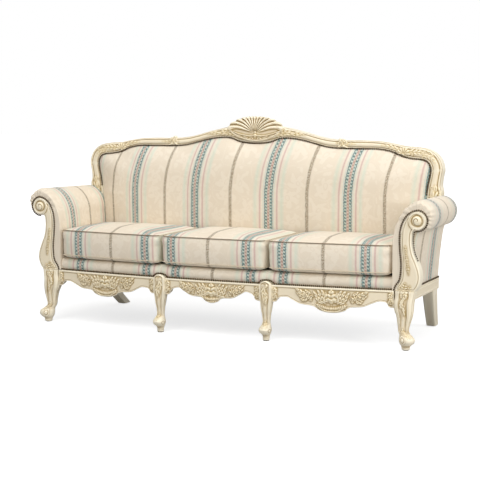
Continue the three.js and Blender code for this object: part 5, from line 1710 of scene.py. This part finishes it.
def fit(piece, slot, *nodes, body="frame", finish=None):
    """Gives a piece its finish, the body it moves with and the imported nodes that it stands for."""
    piece.data.materials.clear()
    piece.data.materials.append(finish_of(finish or slot))
    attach(piece, body)
    if nodes:
        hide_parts(*nodes)
    return piece


def fit_pair(piece, slot, nodes):
    """Fits a right-hand piece and its left-hand twin."""
    name = piece.name
    twin = mirror_piece(piece, name.replace("_right", "_left"))
    for copy, side in ((piece, "right"), (twin, "left")):
        fit(copy, slot, *[f"{node_name}_{side}" for node_name in nodes])
    return piece, twin


class SofaStep(bpy.types.Operator):
    """One step in building the sofa"""
    bl_options = {"REGISTER", "UNDO"}

    def execute(self, context):
        self.build(context)
        return {"FINISHED"}


class SOFA_OT_back_frame(SofaStep):
    """Carves the crest rail and the two back posts"""
    bl_idname = "sofa.back_frame"
    bl_label = "Back frame"

    def build(self, context):
        crest = frame_piece("carved_crest_rail", -CREST_END_ROW, CREST_END_ROW, crest_carving)
        fit(crest, "painted_wood", "crest_rail")
        post = frame_piece("carved_back_post_right", CREST_END_ROW, LAST_ROW, post_carving)
        fit_pair(post, "painted_wood", ["back_post"])


class SOFA_OT_crest_shell(SofaStep):
    """Carves the shell in the middle of the crest"""
    bl_idname = "sofa.crest_shell"
    bl_label = "Crest shell"

    def build(self, context):
        fit(crest_shell(), "painted_wood", "crest_shell")
        fit_pair(ribbon_tie(), "painted_wood", [])


class SOFA_OT_arm_facings(SofaStep):
    """Carves the scrolled arm facings"""
    bl_idname = "sofa.arm_facings"
    bl_label = "Arm facings"

    def build(self, context):
        fit_pair(arm_facing(), "painted_wood", ["arm_facing"])


class SOFA_OT_front_legs(SofaStep):
    """Carves the corner legs, the middle legs and their arched knees"""
    bl_idname = "sofa.front_legs"
    bl_label = "Front legs"

    def build(self, context):
        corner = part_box("front_corner_glide_right")
        foot = (corner[0] + corner[1]) / 2
        piece = leg("carved_corner_leg_right", CORNER_LEG, (foot.x, foot.y), 92 * MM, LEG_HIGH.z, -pi / 4,
                    corner_leg_carving)
        fit_pair(piece, "painted_wood", ["front_corner_leg"])
        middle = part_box("front_middle_glide_right")
        foot = (middle[0] + middle[1]) / 2
        shank = leg("carved_middle_leg_right", MIDDLE_LEG, (foot.x, foot.y), 61 * MM, MIDDLE_LEG_HIGH.z, 0,
                    middle_leg_carving, steps=(190, 90))
        knee = knee_shield("knee_right", foot.x)
        piece = join_meshes("carved_middle_leg_right", [shank, knee])
        fit_pair(piece, "painted_wood", ["front_middle_leg"])


class SOFA_OT_aprons(SofaStep):
    """Carves the front rails between the legs"""
    bl_idname = "sofa.aprons"
    bl_label = "Front aprons"

    def build(self, context):
        low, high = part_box("front_apron_right")
        side = apron("carved_apron_right", low.x, high.x, SIDE_APRON, 380)
        fit_pair(side, "painted_wood", ["front_apron"])
        low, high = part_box("front_apron_middle")
        fit(apron("carved_apron_middle", low.x, high.x, MIDDLE_APRON, 360), "painted_wood",
            "front_apron_middle")


class SOFA_OT_sides(SofaStep):
    """Shapes the rear legs and the beads on the side rails"""
    bl_idname = "sofa.sides"
    bl_label = "Rear legs and side rails"

    def build(self, context):
        fit_pair(rear_leg(), "painted_wood", ["rear_leg"])
        fit_pair(side_rail_bead(), "painted_wood", [])


class SOFA_OT_tight_back(SofaStep):
    """Stuffs the back"""
    bl_idname = "sofa.tight_back"
    bl_label = "Tight back"

    def build(self, context):
        piece = fit(tight_back(), "striped_damask", "back_pad")


class SOFA_OT_outside_back(SofaStep):
    """Covers the outside of the back"""
    bl_idname = "sofa.outside_back"
    bl_label = "Outside back"

    def build(self, context):
        piece = fit(outside_back(), "striped_damask", "outside_back_panel")


class SOFA_OT_linings(SofaStep):
    """Covers the seat deck and closes the underside with lining cloth"""
    bl_idname = "sofa.linings"
    bl_label = "Linings"

    def build(self, context):
        fit(seat_deck(), "black_lining", "seat_deck")
        piece = fit(dust_cover(), "black_lining", "dust_cover")


class SOFA_OT_arms(SofaStep):
    """Stuffs the arms and hangs the outside arms"""
    bl_idname = "sofa.arms"
    bl_label = "Arms"

    def build(self, context):
        for piece in fit_pair(stuffed_arm(), "striped_damask", ["arm_pad"]):
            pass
        for piece, side in zip(fit_pair(outside_arm(), "striped_damask", ["outside_arm_panel"]),
                               ("right", "left")):
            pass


class SOFA_OT_seat_border(SofaStep):
    """Stuffs the roll along the seat front"""
    bl_idname = "sofa.seat_border"
    bl_label = "Seat border"

    def build(self, context):
        fit(front_border(), "striped_damask", "seat_front_border")


class SOFA_OT_cushions(SofaStep):
    """Fills the three loose seat cushions and sews on their welts"""
    bl_idname = "sofa.cushions"
    bl_label = "Seat cushions"

    def build(self, context):
        for side in ("right", "middle", "left"):
            node_name = f"seat_cushion_{side}"
            low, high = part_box(node_name)
            piece = boxed_cushion(f"{side}_seat_cushion", low.x, high.x)
            fit(piece, "striped_damask", node_name, body=f"{side}_cushion")
            top, bottom = CUSHION_EDGE - 1 * MM, CUSHION_BOTTOM + 17 * MM
            for edge, level, turns, inset, finish in (
                ("top_front", top, (1.236, 1.764), 4.4 * MM, "brown_welt"),
                ("top_side", top, (-0.236, 1.236), 4.4 * MM, "ivory_welt"),
                ("bottom", bottom, (0, 2), 2.6 * MM, "ivory_welt"),
            ):
                welt = cushion_welt(f"{side}_cushion_{edge}_welt", low.x, high.x, level, turns, inset)
                fit(welt, "striped_damask", body=f"{side}_cushion", finish=finish)


class SOFA_OT_nails(SofaStep):
    """Drives the rows of nails round the upholstery"""
    bl_idname = "sofa.nails"
    bl_label = "Nails"

    def build(self, context):
        rows = even_rows(inner_edge, -ARM_ROW - 0.3, ARM_ROW + 0.3, 900)[0]
        edge = inner_edge(rows)
        out = outer_edge(rows) - edge
        edge = edge - out / np.linalg.norm(out, axis=1, keepdims=True) * 1.5 * MM
        crest = upright(edge, BACK_FRONT - 6 * MM)
        fit(nail_row("back_nails", [(crest, (0, -1, 0))]), "antique_bronze", "back_nail_trim")
        inner, outer = facing_edges()
        inner = moved_out(inner, 5.2)
        outer = moved_out(outer[::-1], 5.2)
        shown = outer[outer[:, 1] > arm_point(0, 0.33)[1]]
        piece = nail_row("arm_nails_right", [
            (upright(inner * MM, PAD_FRONT - 2 * MM), (0, -1, 0)),
            (upright(shown * MM, FACING_FRONT + 26 * MM), (1, -0.4, 0)),
        ])
        fit_pair(piece, "antique_bronze", ["arm_nail_trim"])
        x = np.linspace(-SEAT_HALF, SEAT_HALF, 1200)
        arch = half_round(np.abs(x) - BAY_SEAM, 0.037)
        z = RAIL_TOP + 5 * MM + arch * (MIDDLE_LEG_HIGH.z - RAIL_TOP)
        front = np.stack([x, front_sweep(x) + 4.5 * MM, z], 1)
        fit(nail_row("front_rail_nails", [(front, (0, -1, 0.15))]), "antique_bronze",
            "front_nail_trim_right", "front_nail_trim_middle", "front_nail_trim_left")
        low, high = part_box("side_nail_trim_right")
        rail = np.array([(high.x - 1 * MM, low.y + 2 * MM, low.z + 4.6 * MM),
                         (high.x - 1 * MM, high.y - 2 * MM, low.z + 4.6 * MM)])
        fit_pair(nail_row("side_rail_nails_right", [(rail, (1, 0, 0))]), "antique_bronze",
                 ["side_nail_trim"])


class SOFA_OT_kept_parts(SofaStep):
    """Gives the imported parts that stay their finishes"""
    bl_idname = "sofa.kept_parts"
    bl_label = "Plain parts"

    def build(self, context):
        finishes = {
            "painted_wood": ("side_rail", "rear_seat_rail"),
            "bare_wood": ("lower_back_rail", "arm_top_rail", "seat_cross_rail", "front_corner_block",
                          "rear_corner_block"),
            "screw_steel": ("front_block_screw", "rear_block_screw"),
            "jute_webbing": ("seat_webbing",),
            "glide_plastic": ("front_corner_glide", "front_middle_glide", "rear_glide"),
        }
        for name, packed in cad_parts.items():
            for slot, starts in finishes.items():
                if name.startswith(starts):
                    if not packed.data.materials:
                        packed.data.materials.append(None)
                    for place in packed.material_slots:
                        place.link = "OBJECT"
                        place.material = finish_of(slot)


# Each lamp's name, place, aim, size in metres and power in watts
LAMPS = (
    ("overhead_softbox", (0.2, -1.7, 4.2), (0, 0, 0.4), 4.0, 114),
    ("front_softbox", (0.0, -5.0, 3.6), (0, 0, 0.5), 2.8, 60),
    ("side_softbox", (4.8, -1.5, 2.2), (0.8, 0, 0.4), 2.4, 104),
)
CAMERA_PLACE = (2.6432, -5.8994, 1.1361)
CAMERA_DIP = 6.201
CAMERA_TURN = 24.234
CAMERA_LENS = 96.434
CAMERA_SENSOR = 36


class SOFA_OT_stage(SofaStep):
    """Sets the floor, the lights and the camera"""
    bl_idname = "sofa.stage"
    bl_label = "Stage"

    def build(self, context):
        floor = new_piece("studio_floor", new_grid("studio_floor", 1, 1, size=30))
        floor.data.materials.append(studio_floor())
        world = bpy.data.worlds.new("Studio")
        context.scene.world = world
        world.use_nodes = True
        tree = world.node_tree
        tree.nodes.clear()
        seen = node(tree, "LightPath")
        clear = maths(tree, "MAXIMUM", seen.outputs["Is Camera Ray"], seen.outputs["Is Glossy Ray"])
        level = maths(tree, "MULTIPLY_ADD", clear, 0.64, 0.36)
        shade = node(tree, "Background", {"Color": (1, 1, 1, 1), "Strength": level})
        node(tree, "OutputWorld", {"Surface": shade.outputs[0]})
        strength = context.scene.sofa_light.level
        for name, place, aim, size, watts in LAMPS:
            lamp = bpy.data.lights.new(name, "AREA")
            lamp.shape = "SQUARE"
            lamp.size = size
            lamp.energy = watts * strength
            lit = new_piece(name, lamp)
            lit.location = place
            lit.rotation_euler = (Vector(aim) - Vector(place)).to_track_quat("-Z", "Y").to_euler()
        view = bpy.data.cameras.new("studio_camera")
        view.lens = CAMERA_LENS
        view.sensor_width = CAMERA_SENSOR
        camera = new_piece("studio_camera", view)
        camera.location = CAMERA_PLACE
        camera.rotation_euler = (radians(90 - CAMERA_DIP), 0, radians(CAMERA_TURN))
        context.scene.camera = camera
        context.scene.view_settings.view_transform = "Standard"


def studio_floor():
    """Seamless white paper: flat white where it is lit, with only the object's shadow on it."""
    finish, tree, shader = new_finish("Seamless white paper", {
        "Roughness": 0.9, "Base Color": (0.55, 0.55, 0.55, 1), "Specular IOR Level": 0.0,
        "Emission Color": (1, 1, 1, 1)})
    seen = node(tree, "LightPath").outputs["Is Camera Ray"]
    away = node(tree, "VectorMath", {0: node(tree, "TexCoord").outputs["Object"]}, operation="LENGTH")
    level = node(tree, "MapRange", {"Value": away.outputs["Value"], "From Min": 1.5, "From Max": 3.5,
                                    "To Min": 0.73, "To Max": 1.0}).outputs[0]
    tree.links.new(maths(tree, "MULTIPLY", seen, level), shader.inputs["Emission Strength"])
    return finish


STEPS = (
    SOFA_OT_back_frame, SOFA_OT_crest_shell, SOFA_OT_arm_facings, SOFA_OT_front_legs, SOFA_OT_aprons,
    SOFA_OT_sides, SOFA_OT_tight_back, SOFA_OT_outside_back, SOFA_OT_linings, SOFA_OT_arms,
    SOFA_OT_seat_border, SOFA_OT_cushions, SOFA_OT_nails, SOFA_OT_kept_parts, SOFA_OT_stage,
)


class SOFA_PT_steps(bpy.types.Panel):
    """Lists the steps that build the sofa"""
    bl_label = "Cabriole sofa"
    bl_space_type = "VIEW_3D"
    bl_region_type = "UI"
    bl_category = "Sofa"

    def draw(self, context):
        for group in (context.scene.sofa_paint, context.scene.sofa_cloth, context.scene.sofa_light):
            for key in group.__annotations__:
                self.layout.prop(group, key)
        for step in STEPS:
            self.layout.operator(step.bl_idname)


GROUPS = {"sofa_paint": SofaPaintColours, "sofa_cloth": SofaClothColours, "sofa_light": SofaLight}


def register():
    for name, group in GROUPS.items():
        bpy.utils.register_class(group)
        setattr(bpy.types.Scene, name, PointerProperty(type=group))
    for step in STEPS:
        bpy.utils.register_class(step)
    bpy.utils.register_class(SOFA_PT_steps)


def unregister():
    bpy.utils.unregister_class(SOFA_PT_steps)
    for step in reversed(STEPS):
        bpy.utils.unregister_class(step)
    for name, group in GROUPS.items():
        delattr(bpy.types.Scene, name)
        bpy.utils.unregister_class(group)


def main():
    register()
    for step in STEPS:
        family, name = step.bl_idname.split(".")
        getattr(getattr(bpy.ops, family), name)()


if __name__ == "__main__":
    main()
